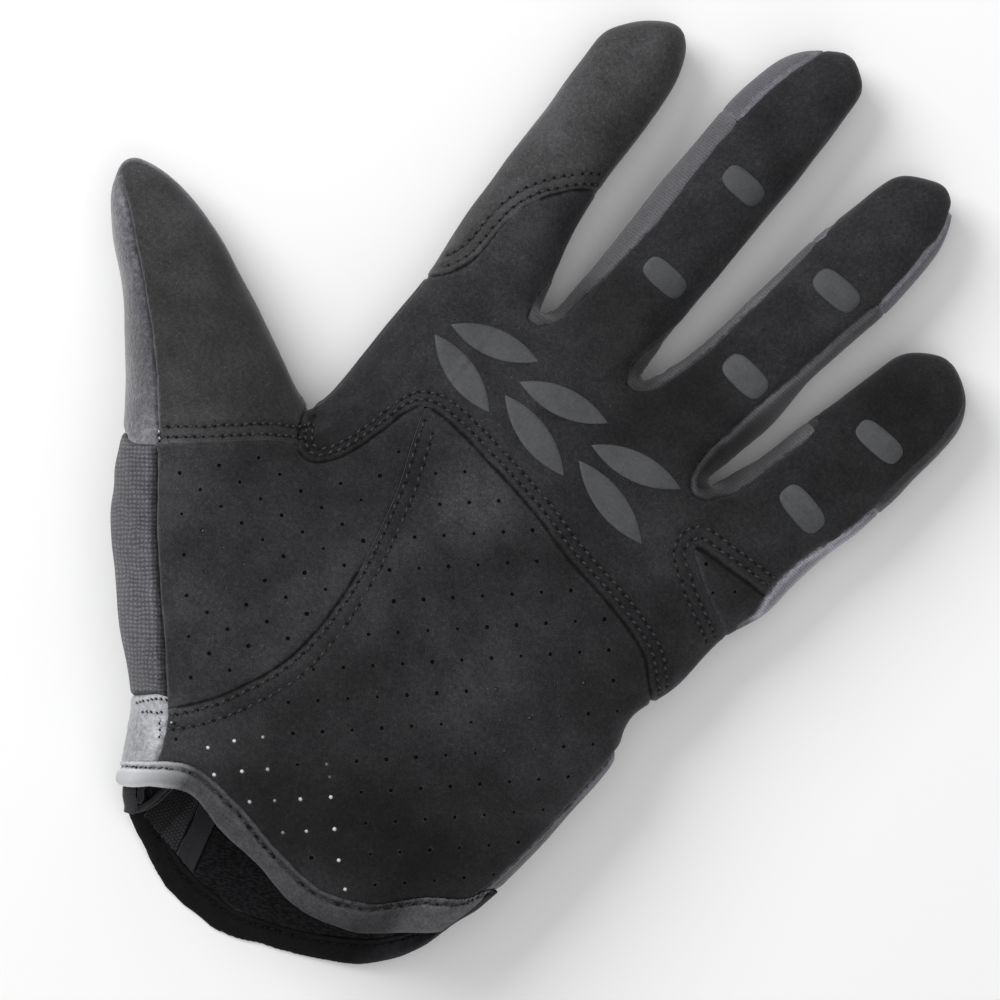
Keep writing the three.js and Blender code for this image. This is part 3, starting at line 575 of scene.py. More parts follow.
def curve(points, per=6):
    """A line through the points: each stretch is a Catmull-Rom cubic, cut into per parts."""
    p = np.asarray(points, float)
    p = np.vstack([2 * p[0] - p[1], p, 2 * p[-1] - p[-2]])
    t = (np.arange(per) / per)[None, :, None]
    a, b, c, d = (p[i : len(p) - 3 + i, None, :] for i in range(4))
    made = 0.5 * (2 * b + (c - a) * t + (2 * a - 5 * b + 4 * c - d) * t**2 + (3 * b - a - 3 * c + d) * t**3)
    return np.vstack([made.reshape(-1, p.shape[1]), p[-2]])


def region_distance(outline, x, y):
    """Distance to a closed outline, positive inside, where a ray to +x crosses it an odd number of times."""
    shape = np.shape(x)
    x, y = np.ravel(x)[:, None], np.ravel(y)[:, None]
    a = np.asarray(outline, float)
    b = np.roll(a, -1, axis=0)
    edge = b - a
    t = ((x - a[:, 0]) * edge[:, 0] + (y - a[:, 1]) * edge[:, 1]) / (edge**2).sum(1)
    t = np.clip(t, 0, 1)
    away = np.hypot(x - a[:, 0] - t * edge[:, 0], y - a[:, 1] - t * edge[:, 1]).min(1)
    spans = (a[:, 1] > y) != (b[:, 1] > y)
    rise = np.where(np.abs(edge[:, 1]) < 1e-9, 1e-9, edge[:, 1])
    crossed = spans & (x < a[:, 0] + (y - a[:, 1]) * edge[:, 0] / rise)
    inside = crossed.sum(1) % 2 == 1
    return np.where(inside, away, -away).reshape(shape)


def noise(points, cell, seed):
    """Smooth noise from -1 to 1: random values at the corners of cells, blended between them by 3t² - 2t³."""
    values = np.random.RandomState(seed).uniform(-1, 1, 32768).astype(np.float32)
    at = np.asarray(points, np.float32) / cell
    low = np.floor(at).astype(np.int64)
    t = at - low
    t = t * t * (3 - 2 * t)
    total = np.zeros(at.shape[:-1], np.float32)
    strides = (1, 61, 3721)[: at.shape[-1]]
    for corner in np.ndindex(*(2,) * at.shape[-1]):
        index = sum((low[..., i] + corner[i]) * strides[i] for i in range(at.shape[-1])) % values.size
        shares = [t[..., i] if corner[i] else 1 - t[..., i] for i in range(at.shape[-1])]
        total += values[index] * np.prod(shares, axis=0)
    return total


class Plan:
    """Maps over the plan of the glove, read between their points by bilinear blending."""

    low = np.array([-126.0, -128.0])
    high = np.array([84.0, 138.0])

    def __init__(self):
        counts = np.round((self.high - self.low) / PLAN_STEP).astype(int) + 1
        lines = [low + np.arange(count) * PLAN_STEP for low, count in zip(self.low, counts)]
        self.x, self.y = np.meshgrid(*lines, indexing="ij")
        self.maps = {}
        for name, (line, closing) in REGIONS.items():
            outline = np.vstack([curve(line), closing]) if line else np.asarray(closing, float)
            self.maps[name] = region_distance(outline, self.x, self.y).astype(np.float32)
        self.maps["finger rows"] = self.maps["fingers"] / (0.68 + 0.38 * step_up(self.x, -38, -20))
        self.maps["heel rows"] = self.maps["heel"] * (1 + 0.24 * step_up(self.y, -60, -20))
        self.rows = [self.row(*row[:3]) for row in STITCH_ROWS]
        self.maps["sewn rows"] = np.max([here * bell(away, 0.8) for here, away in self.rows], axis=0)
        self.maps["palm relief"], self.maps["back relief"] = relief(self)

    def row(self, name, distance, window):
        """A stitch row over the plan: a soft mask of its window, and the distance from it."""
        x0, x1, y0, y1 = window
        here = step_up(self.x, x0 - 2, x0 + 2) * step_up(-self.x, -x1 - 2, -x1 + 2)
        here = here * step_up(self.y, y0 - 2, y0 + 2) * step_up(-self.y, -y1 - 2, -y1 + 2)
        return here, self.maps[name] - distance

    def read(self, name, x, y):
        """The value of a map at points of the plan."""
        return read_map(self.maps[name], self.low, PLAN_STEP, x, y)

    def relief_at(self, x, y, z):
        """Outward displacement at points: the palm side's above the parting, the back's below it."""
        side = step_up(z - parting(x, y), -SIDE_BLEND, SIDE_BLEND)
        return side * self.read("palm relief", x, y) + (1 - side) * self.read("back relief", x, y)


def parting(x, y):
    """Height of the parting: z runs straight from left to right of the row at y, in the column at x."""
    height = np.zeros(np.shape(x))
    left_to_do = np.ones(np.shape(x), bool)
    first_y = FINGER_PARTINGS[0][0][0]
    for rows in (HAND_PARTING, *FINGER_PARTINGS):
        ys, *columns = np.array(rows, float).T
        x_left, z_left, x_right, z_right = (np.interp(y, ys, column) for column in columns)
        last = rows is FINGER_PARTINGS[-1]
        here = left_to_do & ((y < first_y) if rows is HAND_PARTING else (x <= x_right) | last)
        share = np.clip((x - x_left) / (x_right - x_left), 0, 1)
        height = np.where(here, z_left + share * (z_right - z_left), height)
        left_to_do = left_to_do & ~here
    return height


def rim_line(edge_or_binding, x, z):
    """y of a line of the wrist opening: a monotone cubic in x, from the back's to the palm's as z rises."""
    table = np.array(RIM).T
    palm, back = {"edge": (1, 3), "binding": (2, 4)}[edge_or_binding]
    share = np.clip((z - RIM_LOW) / (RIM_HIGH - RIM_LOW), 0, 1)
    on_palm, on_back = smooth(table[0], table[palm], x), smooth(table[0], table[back], x)
    return on_back + share * (on_palm - on_back)


def form_distance(form, x, y, z):
    """Distance to one form's skin, to first order: (F - 1) / |gradient of F|.

    F = (|u|ᵖ + |v|ᵖ)^(1/p) is the section's superellipse radius. The form is cut off square at both ends.
    """
    heading = math.radians(form["heading"])
    forward = math.cos(heading), math.sin(heading)
    dx, dy = x - form["origin"][0], y - form["origin"][1]
    along = dx * forward[0] + dy * forward[1]
    across = dx * forward[1] - dy * forward[0]
    table = dict(zip(COLUMNS, np.array(form["rows"], float).T))
    left, right, bottom, top = (smooth(table["along"], table[c], along) for c in COLUMNS[1:])
    half, middle = (right - left) / 2, (right + left) / 2
    widest = bottom + WIDEST * (top - bottom)
    above = z >= widest
    tall = np.where(above, top - widest, widest - bottom)
    power = np.where(above, UPPER_POWER, LOWER_POWER)
    u, v = np.abs(across - middle) / half, np.abs(z - widest) / tall
    radius = np.maximum((u**power + v**power) ** (1 / power), 1e-4)
    steepness = np.hypot((u / radius) ** (power - 1) / half, (v / radius) ** (power - 1) / tall)
    ends = np.maximum(table["along"][0] - along, along - table["along"][-1])
    return np.maximum((radius - 1) / np.maximum(steepness, 1e-6), ends)


def soft_join(a, b, reach):
    """The smaller of two distances, rounded where they are within reach of each other: min - h² reach / 4."""
    h = np.maximum(reach - np.abs(a - b), 0) / reach
    return np.minimum(a, b) - h * h * reach / 4


def axes(low, high, step):
    """The grid's lines along x, y and z."""
    return [low[i] + np.arange(int(round((high[i] - low[i]) / step)) + 1) * step for i in range(3)]


def body_field(low, high, step):
    """Distance to the glove's skin on a grid: the forms joined one after another."""
    lines = axes(low, high, step)
    field = np.full([len(line) for line in lines], FAR, np.float32)
    for form, reach in FORMS:
        heading = math.radians(form["heading"])
        forward = np.array([math.cos(heading), math.sin(heading)])
        side = np.array([forward[1], -forward[0]])
        rows = np.array(form["rows"], float)
        corners = [np.array(form["origin"]) + r[0] * forward + s * side for r in rows for s in (r[1], r[2])]
        box = np.min(corners, axis=0) - FORM_MARGIN, np.max(corners, axis=0) + FORM_MARGIN
        spans = [np.searchsorted(lines[i], (box[0][i], box[1][i])) for i in range(2)]
        spans.append(np.searchsorted(lines[2], (low[2] - 1, rows[:, 4].max() + FORM_MARGIN)))
        part = tuple(slice(*span) for span in spans)
        if any(span[1] <= span[0] for span in spans):
            continue
        x, y, z = np.meshgrid(*[lines[i][part[i]] for i in range(3)], indexing="ij")
        away = form_distance(form, x, y, z)
        field[part] = soft_join(field[part], away, reach) if reach else np.minimum(field[part], away)
    return field


def softened(field, times):
    """A grid blurred some times over, by the weights 1 4 6 4 1 over 16 along each axis."""
    for _ in range(times):
        for axis in range(3):
            size = field.shape[axis]
            wide = np.pad(field, [(2, 2) if a == axis else (0, 0) for a in range(3)], mode="edge")
            part = [np.take(wide, range(i, i + size), axis) for i in range(5)]
            field = ((part[0] + part[4]) + 4 * (part[1] + part[3]) + 6 * part[2]) / 16
    return field


def gap_bottoms(x, y):
    """Depth inside the bottoms of the gaps: circles along each, of radii blended between its ends."""
    share = np.linspace(0, 1, CROTCH_STEPS)[:, None]
    circles = np.vstack([np.array(row[:3]) * (1 - share) + np.array(row[3:]) * share for row in CROTCHES])
    return np.max([radius - np.hypot(x - at_x, y - at_y) for at_x, at_y, radius in circles], axis=0)


def surface_net(field, low, step):
    """Closed surface of the field's zero.

    Each cell that it crosses has one vertex, at the mean of the crossings of the cell's edges, and each grid
    edge that it crosses has one face, halved along its shorter diagonal.
    """
    inside = field < 0
    corners = np.array(list(np.ndindex(2, 2, 2)))
    size = np.array(field.shape) - 1
    boxes = [tuple(slice(c[i], c[i] + size[i]) for i in range(3)) for c in corners]
    total = sum(inside[box].astype(np.uint8) for box in boxes)
    cells = np.argwhere((total > 0) & (total < 8))
    value = np.stack([field[tuple((cells + c).T)] for c in corners], 1)
    sums, count = np.zeros((len(cells), 3)), np.zeros(len(cells))
    for p in range(8):
        for q in range(p + 1, 8):
            if np.abs(corners[p] - corners[q]).sum() != 1:
                continue
            a, b = value[:, p], value[:, q]
            crossed = (a < 0) != (b < 0)
            t = np.where(crossed, a / np.where(crossed, a - b, 1), 0)[:, None]
            sums += np.where(crossed[:, None], corners[p] + t * (corners[q] - corners[p]), 0)
            count += crossed
    points = np.asarray(low) + (cells + sums / count[:, None]) * step
    index = np.full(size, -1, np.int64)
    index[tuple(cells.T)] = np.arange(len(cells))
    quads = []
    unit = np.eye(3, dtype=int)
    for axis in range(3):
        u, v = unit[(axis + 1) % 3], unit[(axis + 2) % 3]
        here = inside[tuple(slice(1, -1) if i != axis else slice(0, -1) for i in range(3))]
        there = inside[tuple(slice(1, -1) if i != axis else slice(1, None) for i in range(3))]
        at = np.argwhere(here != there) + 1 - unit[axis]
        quad = np.stack([index[tuple((at - s).T)] for s in (u + v, v, 0 * u, u)], 1)
        outward = inside[tuple(at.T)]
        quads.append(np.where(outward[:, None], quad, quad[:, ::-1]))
    quads = np.vstack(quads)
    quads = quads[(quads >= 0).all(1)]
    first = np.linalg.norm(points[quads[:, 0]] - points[quads[:, 2]], axis=1)
    second = np.linalg.norm(points[quads[:, 1]] - points[quads[:, 3]], axis=1)
    return points, halved(np.where((first > second)[:, None], np.roll(quads, -1, axis=1), quads))


def halved(quads):
    """Two triangles for each face of four corners."""
    return np.vstack([quads[:, [0, 1, 2]], quads[:, [0, 2, 3]]])


def read_grid(grid, low, step, points):
    """Value of a grid at points, blended between the eight nearest."""
    at = np.clip((points - low) / step, 0, np.array(grid.shape[:3]) - 1.001)
    i = at.astype(int)
    t = at - i
    total = 0
    for corner in np.ndindex(2, 2, 2):
        weight = np.prod([t[:, a] if corner[a] else 1 - t[:, a] for a in range(3)], axis=0)
        value = grid[i[:, 0] + corner[0], i[:, 1] + corner[1], i[:, 2] + corner[2]]
        total = total + (value.T * weight).T
    return total


def settled(points, field, low, step, times=2):
    """Points moved onto the field's zero along its gradient, and the outward normals there."""
    for _ in range(times):
        value, slope = read_grid(field, low, step, points), gradient(points, field, low, step)
        points = points - (value / np.maximum((slope**2).sum(1), 0.05))[:, None].clip(-1, 1) * slope
    slope = gradient(points, field, low, step)
    return points, slope / np.maximum(np.linalg.norm(slope, axis=1), 1e-6)[:, None]


def gradient(points, field, low, step):
    """Slope of a grid at points, from central differences over one and a half cells."""
    reach = 0.75 * step
    made = np.empty_like(points)
    for axis in range(3):
        shift = np.zeros(3)
        shift[axis] = reach
        ahead = read_grid(field, low, step, points + shift)
        made[:, axis] = (ahead - read_grid(field, low, step, points - shift)) / (2 * reach)
    return made


def clipped(mesh, value):
    """The part of a triangle mesh where value is above 0, cut where straight interpolation puts its zero.

    mesh is a dict of arrays with one row for each vertex, and of the triangles, under "faces".
    """
    faces = mesh["faces"]
    inside = value > 0
    count = inside[faces].sum(1)
    rolled = {}
    for want, odd in ((1, True), (2, False)):
        some = faces[count == want]
        first = (inside[some] == odd).argmax(1)
        rolled[want] = np.take_along_axis(some, (first[:, None] + np.arange(3)) % 3, axis=1)
    one, two = rolled[1], rolled[2]
    ends = np.vstack([one[:, [0, 1]], one[:, [0, 2]], two[:, [0, 1]], two[:, [0, 2]]])
    pairs, back = np.unique(np.sort(ends, axis=1), axis=0, return_inverse=True)
    back = back.reshape(-1) + len(value)
    a, b = value[pairs[:, 0]], value[pairs[:, 1]]
    t = (a / np.where(a == b, 1, a - b)).clip(0, 1)
    out = {}
    for name, array in mesh.items():
        if name != "faces":
            weight = t.reshape(-1, *(1,) * (array.ndim - 1))
            cut = array[pairs[:, 0]] * (1 - weight) + array[pairs[:, 1]] * weight
            out[name] = np.concatenate([array, cut])
    m, n = len(one), len(two)
    ab, ac, pb, pc = back[:m], back[m : 2 * m], back[2 * m : 2 * m + n], back[2 * m + n :]
    kept = np.vstack([
        faces[count == 3],
        np.stack([one[:, 0], ab, ac], 1),
        np.stack([pb, two[:, 1], two[:, 2]], 1),
        np.stack([pb, two[:, 2], pc], 1),
    ])
    used, kept = np.unique(kept, return_inverse=True)
    out = {name: array[used] for name, array in out.items()}
    out["faces"] = kept.reshape(-1, 3)
    return out


def relief(plan):
    """Outward displacement of the palm side and of the rest, as two maps of the plan.

    The palm swells softly, is drawn in along each row of stitches and rises beside it and at its sewn edges.
    """
    x, y = plan.x, plan.y
    flat = np.stack([x, y], -1)
    region = plan.maps
    soft = 0.55 * noise(flat, 26, 1) + 0.28 * noise(flat, 11, 2) + 0.1 * noise(flat, 5, 3)
    palm = soft.copy()
    pucker = 1 + 0.5 * noise(flat, 2.4, 7)
    for (here, away), row in zip(plan.rows, STITCH_ROWS):
        palm -= 0.5 * here * pucker * bell(away, 0.65)
        palm += 0.24 * here * pucker * bell(away - math.copysign(1.1, row[1]), 0.7)
    for name in ("fingers", "heel", "index tip", "thumb front"):
        palm += 0.3 * bell(region[name] - 0.9, 0.8) * (1 + 0.6 * noise(flat, 4.0, 9))
    at_x, at_y, radius, depth = ROOT_DENT
    palm -= depth * bell(np.hypot(x - at_x, y - at_y), radius)
    for fold, depth in ROOT_FOLDS:
        away = region_distance(fold, x, y)
        palm += depth * (0.6 * bell(away + 2.4, 1.1) - bell(away, 1.0))
    back = 0.35 * noise(flat, 22, 4) + 0.15 * noise(flat, 9, 5)
    return palm, back


def made_once(build):
    """Keeps the first result of a function that has no arguments."""
    kept = []

    def give():
        if not kept:
            kept.append(build())
        return kept[0]

    return give


@made_once
def skin():
    """The whole outer surface: points, normals, faces, the grid it came from and its heights."""
    plan = Plan()
    low, high = (np.array(corner) for corner in SKIN_BOX)
    lines = axes(low, high, GRID)
    gaps = gap_bottoms(*np.meshgrid(*lines[:2], indexing="ij"))
    field = np.maximum(softened(body_field(low, high, GRID), 3), gaps[..., None])
    near = np.argwhere(np.abs(field) < RELIEF_REACH)
    points = low + near * GRID
    moved = plan.relief_at(*points.T) + 0.18 * noise(points, 7, 11)
    near = tuple(near.T)
    field[near] -= moved * (1 - np.abs(field[near]) / RELIEF_REACH).clip(0, 1) ** 0.5
    field = np.maximum(field, RESTING - lines[2][None, None, :]).astype(np.float32)
    points, faces = surface_net(field, low, GRID)
    points, normals = settled(points, field, low, GRID)
    made = {"plan": plan, "points": points, "normals": normals, "faces": faces}
    return made | {"field": field, "low": low, "top": heights(field, low, GRID)}


def heights(field, low, step):
    """Highest place in each upright column where the field is 0, or 0 where the column misses the solid."""
    inside = field < 0
    last = field.shape[2] - 1 - inside[:, :, ::-1].argmax(2)
    last = np.minimum(last, field.shape[2] - 2)
    i, j = np.ogrid[: field.shape[0], : field.shape[1]]
    a, b = field[i, j, last], field[i, j, last + 1]
    top = low[2] + (last + a / np.where(a == b, 1, a - b)) * step
    return np.where(inside.any(2), top, 0.0)


def read_map(grid, low, step, x, y):
    """Value of a map of the plan at points, blended between the four nearest."""
    u = np.clip((x - low[0]) / step, 0, grid.shape[0] - 1.001)
    v = np.clip((y - low[1]) / step, 0, grid.shape[1] - 1.001)
    i, j = u.astype(int), v.astype(int)
    u, v = u - i, v - j
    return (
        grid[i, j] * (1 - u) * (1 - v)
        + grid[i + 1, j] * u * (1 - v)
        + grid[i, j + 1] * (1 - u) * v
        + grid[i + 1, j + 1] * u * v
    )


def top_height(x, y):
    """Height of the palm side over points of the plan."""
    made = skin()
    return read_map(made["top"], made["low"], GRID, x, y)


def map_normal(grid, low, step, x, y):
    """Outward normal of a map of heights, from its differences over SLOPE_REACH each way."""
    slopes = []
    for a, b in ((SLOPE_REACH, 0), (0, SLOPE_REACH)):
        rise = read_map(grid, low, step, x + a, y + b) - read_map(grid, low, step, x - a, y - b)
        slopes.append(rise / (2 * SLOPE_REACH))
    normal = np.stack([-slopes[0], -slopes[1], np.ones_like(slopes[0])], -1)
    return normal / np.linalg.norm(normal, axis=-1, keepdims=True)


def top_normal(x, y):
    """Outward normal of the palm side over points of the plan."""
    made = skin()
    return map_normal(made["top"], made["low"], GRID, x, y)


@made_once
def panel_fields():
    """For each CAD node, about the distance to the panel's edge over the skin, above 0 on the panel."""
    made = skin()
    plan = made["plan"]
    x, y, z = made["points"].T
    r = {name: plan.read(name, x, y) for name in REGIONS}
    up = z - parting(x, y) + SIDE_DROP * sum(step_up(r[name], -1, 1) for name in WRAPPED_SIDES)
    up = np.minimum.reduce([up, *(-r[name] for name in OPEN_SIDES)])
    palm = np.minimum(up, r["palm of thumb seam"])
    back = np.minimum(-up, r["hand of thumb back seam"])
    thumb = np.maximum.reduce([
        np.minimum(up, -r["palm of thumb seam"]),
        np.minimum(-up, -r["hand of thumb back seam"]),
        np.minimum(-r["palm of thumb seam"], -r["hand of thumb back seam"]),
    ])
    between_fingers = ("index to middle", "middle to ring", "ring to little")
    strips = {name: np.minimum.reduce([-up, z - FOURCHETTE_LOW, r[name]]) for name in between_fingers}
    ends = ("index end", "middle end", "ring end", "little end")
    covered = np.maximum.reduce([r[name] for name in ends] + list(strips.values()))
    fingers, root = r["fingers"], r["thumb front"]
    fields = {
        "palm_upper_panel": np.minimum.reduce([palm, fingers, -r["index tip"], -r["gusset"]]),
        "palm_heel_panel": np.minimum.reduce([palm, -fingers, r["heel"], -root]),
        "thenar_panel": np.minimum.reduce([palm, -fingers, -r["heel"], -root]),
        "heel_gusset": np.minimum(palm, r["gusset"]),
        "index_tip_panel": np.minimum(palm, r["index tip"]),
        "thumb_front_panel": np.minimum.reduce([palm, -fingers, root]),
        "thumb_back_panel": np.minimum(thumb, r["thumb back"]),
        "thumb_side_knit": np.minimum.reduce([thumb, -r["thumb back"], -r["cuff tab"]]),
        "cuff_side_tab": np.minimum(thumb, r["cuff tab"]),
        "hand_back_panel": np.minimum(back, -covered),
        "fourchette_index_middle": strips["index to middle"],
        "fourchette_middle_ring": strips["middle to ring"],
        "fourchette_ring_little": strips["ring to little"],
    }
    for name, end in zip(("index", "middle", "ring", "little"), ends):
        fields[name + "_back_tip"] = np.minimum(back, r[end])
    rim = y - rim_line("binding", x, z) + TUCK
    return {name: np.minimum(field, rim) for name, field in fields.items()}


def panel_mesh(node):
    """One panel: the skin cut to the panel's field, its sewn edges rolled in along the normal.

    The roll is SEAM_DEPTH (1 - d / TURNED_EDGE)² at a distance d, and deeper along the ball's outer seam.
    """
    made = skin()
    field = panel_fields()[node]
    mesh = {"faces": made["faces"], "points": made["points"], "normals": made["normals"], "edge": field}
    mesh = clipped(mesh, field)
    x, y, z = mesh["points"].T
    mesh["edge"] = mesh["edge"] + 0.5 * flat_seam(x, y)
    by_thumb = bell(made["plan"].read("palm of thumb seam", x, y), 2.5)
    deep = 1 + 0.6 * by_thumb
    distance = (mesh["edge"] / (TURNED_EDGE * deep)).clip(0, 1)
    pucker = 1 + 0.35 * noise(mesh["points"], 3.6, 21)
    roll = SEAM_DEPTH * deep * pucker * (1 - distance) ** 2
    mesh["points"] = mesh["points"] - mesh["normals"] * roll[:, None]
    mesh["points"][:, 2] = mesh["points"][:, 2].clip(RESTING)
    # Wear, and painted light and shade, from the patches.
    mesh["wear"] = wear_and_shade_at(x, y)
    if node in PALM_NODES or node == "thumb_front_panel":
        paint_palm_edge_light(mesh, x, y, by_thumb)
    # The palm side is paler where it turns down towards its rim, a painted highlight.
    if node in PALM_NODES:
        mesh["wear"] += 1.2 * (1 - mesh["normals"][:, 2].clip(0, 1)) ** 3
    # Along its flat lower edge the gusset gets a painted highlight, and under its upper seam a painted shade.
    if node == "heel_gusset":
        flat = flat_seam(x, y)
        mesh["wear"] += 0.4 * flat * bell(mesh["edge"] - 0.5, 0.8)
        mesh["wear"] -= 0.5 * (1 - flat) * bell(mesh["edge"], 2.2)
    # The ribbed knit is paler low down towards the outline, a painted sheen.
    if node == "thumb_side_knit":
        mesh["wear"] += 0.5 * step_up(-z, -27, -17)
    if node in PALE_SIDES:
        mesh["wear"] += pale_side(*PALE_SIDES[node], x, y, z)
    # Up the fingers the painted shade in the seams' grooves is fainter.
    if node in ("palm_upper_panel", *STRIP_NODES, *BACK_NODES):
        by_tips = np.maximum(step_up(y, 60, 80), step_up(y, 46, 60) * step_up(x, 50, 56))
        mesh["edge"] = mesh["edge"] + 0.35 * by_tips
    if node in STRIP_NODES:
        paint_strip_light_and_shade(node, mesh, x, y, z)
    return mesh


def paint_palm_edge_light(mesh, x, y, by_thumb):
    """Paler at the ball's outer seam, a painted highlight on its raised lip, where the groove's painted shade
    is less dark, and darker along the rows of stitches, a painted shade in their drawn-in grooves.
    """
    inward = 1 - mesh["edge"].clip(0, 1)
    mesh["wear"] += 3.0 * by_thumb * inward - 0.2 * skin()["plan"].read("sewn rows", x, y)
    mesh["edge"] = mesh["edge"] + 0.2 * by_thumb


def pale_side(from_x, lighter, x, y, z):
    """How much a side wall of the back is paler beyond an x: far more at the root of the little finger."""
    rounded = 0.3 + 0.7 * step_up(-z, -17, -12)
    by_little = step_up(x, 56, 58) * step_up(y, 12, 16) * step_up(-y, -54, -38)
    return (lighter + 20 * rounded * by_little) * step_up(z, 4.5, 7) * step_up(x, from_x - 1, from_x + 1)


def paint_strip_light_and_shade(node, mesh, x, y, z):
    """A strip between fingers is darker towards the bottom of its gap, a painted shade. The middle-ring strip
    has a paler patch; on the ring-little strip the wall of the ring finger is darker, paler by its edge and
    low down, painted light, and the bottom of the gap has a dark spot, a painted shade.
    """
    mesh["wear"] -= 0.36 * step_up(-y, -56, -46)
    if node == "fourchette_middle_ring":
        mesh["wear"] += 0.6 * bell(np.hypot(x - 15, y - 46.5), 6)
    if node == "fourchette_ring_little":
        on_ring = step_up(37 + 0.29 * (y - 40) - x, -1, 1)
        mesh["wear"] += 0.5 * bell(mesh["edge"] - 0.6, 0.9) * on_ring - 0.4 * on_ring
        mesh["wear"] += 0.9 * on_ring * step_up(-z, -12, -7) - 0.8 * bell(np.hypot(x - 33.9, y - 32.4), 2.0)


def flat_seam(x, y):
    """1 on the seams that lie nearly flat, and 0 two millimetres off them.

    They are those across the fingers and the thumb's root, the heel's upper part and the gusset's lower edge.
    """
    flat = ("thumb front", "index end", "middle end", "ring end", "little end", "heel")
    near = {name: step_up(-np.abs(skin()["plan"].read(name, x, y)), -2, -1) for name in flat}
    near["heel"] = near["heel"] * step_up(y, -33, -29)
    by_gusset = (x > 41) & (y < 18.4 - 0.25 * (x - 41.4)) & (y > 13.6 - 0.535 * (x - 41.2))
    return np.maximum(np.max(list(near.values()), axis=0), by_gusset)


def wear_and_shade_at(x, y):
    """Sum of the patches over the plan, each a bell of its radius, plus faint cloudiness."""
    flat = np.stack([x, y], -1)
    total = 0.1 * noise(flat, 17, 41) + 0.06 * noise(flat, 6, 42)
    for at_x, at_y, radius, share in WEAR_AND_SHADE_PATCHES:
        total = total + share * bell(np.hypot(x - at_x, y - at_y), radius)
    return total


def lay_flat(data):
    """Brings the few points that a corner's wall pushes below the glove's lowest plane back onto it."""
    at = np.empty(3 * len(data.vertices), np.float32)
    data.vertices.foreach_get("co", at)
    at[2::3] = at[2::3].clip(0)
    data.vertices.foreach_set("co", at)
    data.update()


def make_piece(name, mesh, material, node, thickness=0.0):
    """A mesh piece in the part's frame, in metres, that rides on the glove and may stand for a CAD node."""
    points = (mesh["points"] - ORIGIN) / 1000
    data = bpy.data.meshes.new(name)
    faces = mesh["faces"]
    data.vertices.add(len(points))
    data.vertices.foreach_set("co", points.astype(np.float32).ravel())
    data.loops.add(faces.size)
    data.loops.foreach_set("vertex_index", faces.astype(np.int32).ravel())
    data.polygons.add(len(faces))
    data.polygons.foreach_set("loop_start", np.arange(0, faces.size, faces.shape[1], dtype=np.int32))
    data.polygons.foreach_set("use_smooth", np.ones(len(faces), bool))
    for attribute in set(mesh) & {"edge", "wear", "depth"}:
        layer = data.attributes.new(attribute, "FLOAT", "POINT")
        layer.data.foreach_set("value", np.asarray(mesh[attribute], np.float32))
    data.update(calc_edges=True)
    data.validate()
    data.materials.append(material)
    piece = bpy.data.objects.new(name, data)
    bpy.context.scene.collection.objects.link(piece)
    if thickness:
        wall = piece.modifiers.new("cloth", "SOLIDIFY")
        wall.thickness = thickness / 1000
        wall.offset = -1
        wall.use_rim = True
        bake(piece)
        lay_flat(piece.data)
        piece.data.set_sharp_from_angle(angle=math.radians(50))
    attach(piece, "root")
    if node:
        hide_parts(node)
    return piece


def new_material(name):
    """An empty material and its node tree."""
    material = bpy.data.materials.new(name)
    material.use_nodes = True
    material.node_tree.nodes.clear()
    return material, material.node_tree


def shaded(material, inputs, relief=None, strength=0.0, distance=0.0):
    """Puts a Principled shader with its inputs on a material's output, bumped by a relief in millimetres."""
    tree = material.node_tree
    if relief is not None:
        sockets = {"Height": relief, "Strength": strength, "Distance": distance / 1000}
        inputs = inputs | {"Normal": add(tree, "ShaderNodeBump", sockets).outputs[0]}
    shader = add(tree, "ShaderNodeBsdfPrincipled", inputs)
    add(tree, "ShaderNodeOutputMaterial", {"Surface": shader.outputs[0]})
    return material


def add(tree, kind, inputs=None, **settings):
    """Adds a node with its settings, and sets or links its inputs."""
    made = tree.nodes.new(kind)
    for name, value in settings.items():
        setattr(made, name, value)
    for name, value in (inputs or {}).items():
        if isinstance(value, bpy.types.NodeSocket):
            tree.links.new(value, made.inputs[name])
        else:
            made.inputs[name].default_value = value
    return made


def ramp(tree, factor, stops):
    """A colour ramp over (position, sRGB hex) stops."""
    made = add(tree, "ShaderNodeValToRGB", {0: factor})
    elements = made.color_ramp.elements
    while len(elements) < len(stops):
        elements.new(0.5)
    for element, (position, code) in zip(elements, stops):
        element.position = position
        element.color = linear(code)
    return made.outputs[0]


def mottled(tree, parts):
    """A factor near 0.5 from noises: parts are (feature size in mm, share, detail)."""
    where = add(tree, "ShaderNodeTexCoord").outputs["Object"]
    total = None
    for size, share, detail in parts:
        field = add(tree, "ShaderNodeTexNoise", {"Vector": where, "Scale": 1000 / size, "Detail": detail})
        part = add(tree, "ShaderNodeMath", {0: field.outputs[0], 1: share}, operation="MULTIPLY").outputs[0]
        if total is None:
            total = part
        else:
            total = add(tree, "ShaderNodeMath", {0: total, 1: part}, operation="ADD").outputs[0]
    return total


def between(tree, value, low, high, first, last):
    """A value taken from low..high to first..last, and held beyond."""
    sockets = {"Value": value, "From Min": low, "From Max": high, "To Min": first, "To Max": last}
    return add(tree, "ShaderNodeMapRange", sockets).outputs[0]


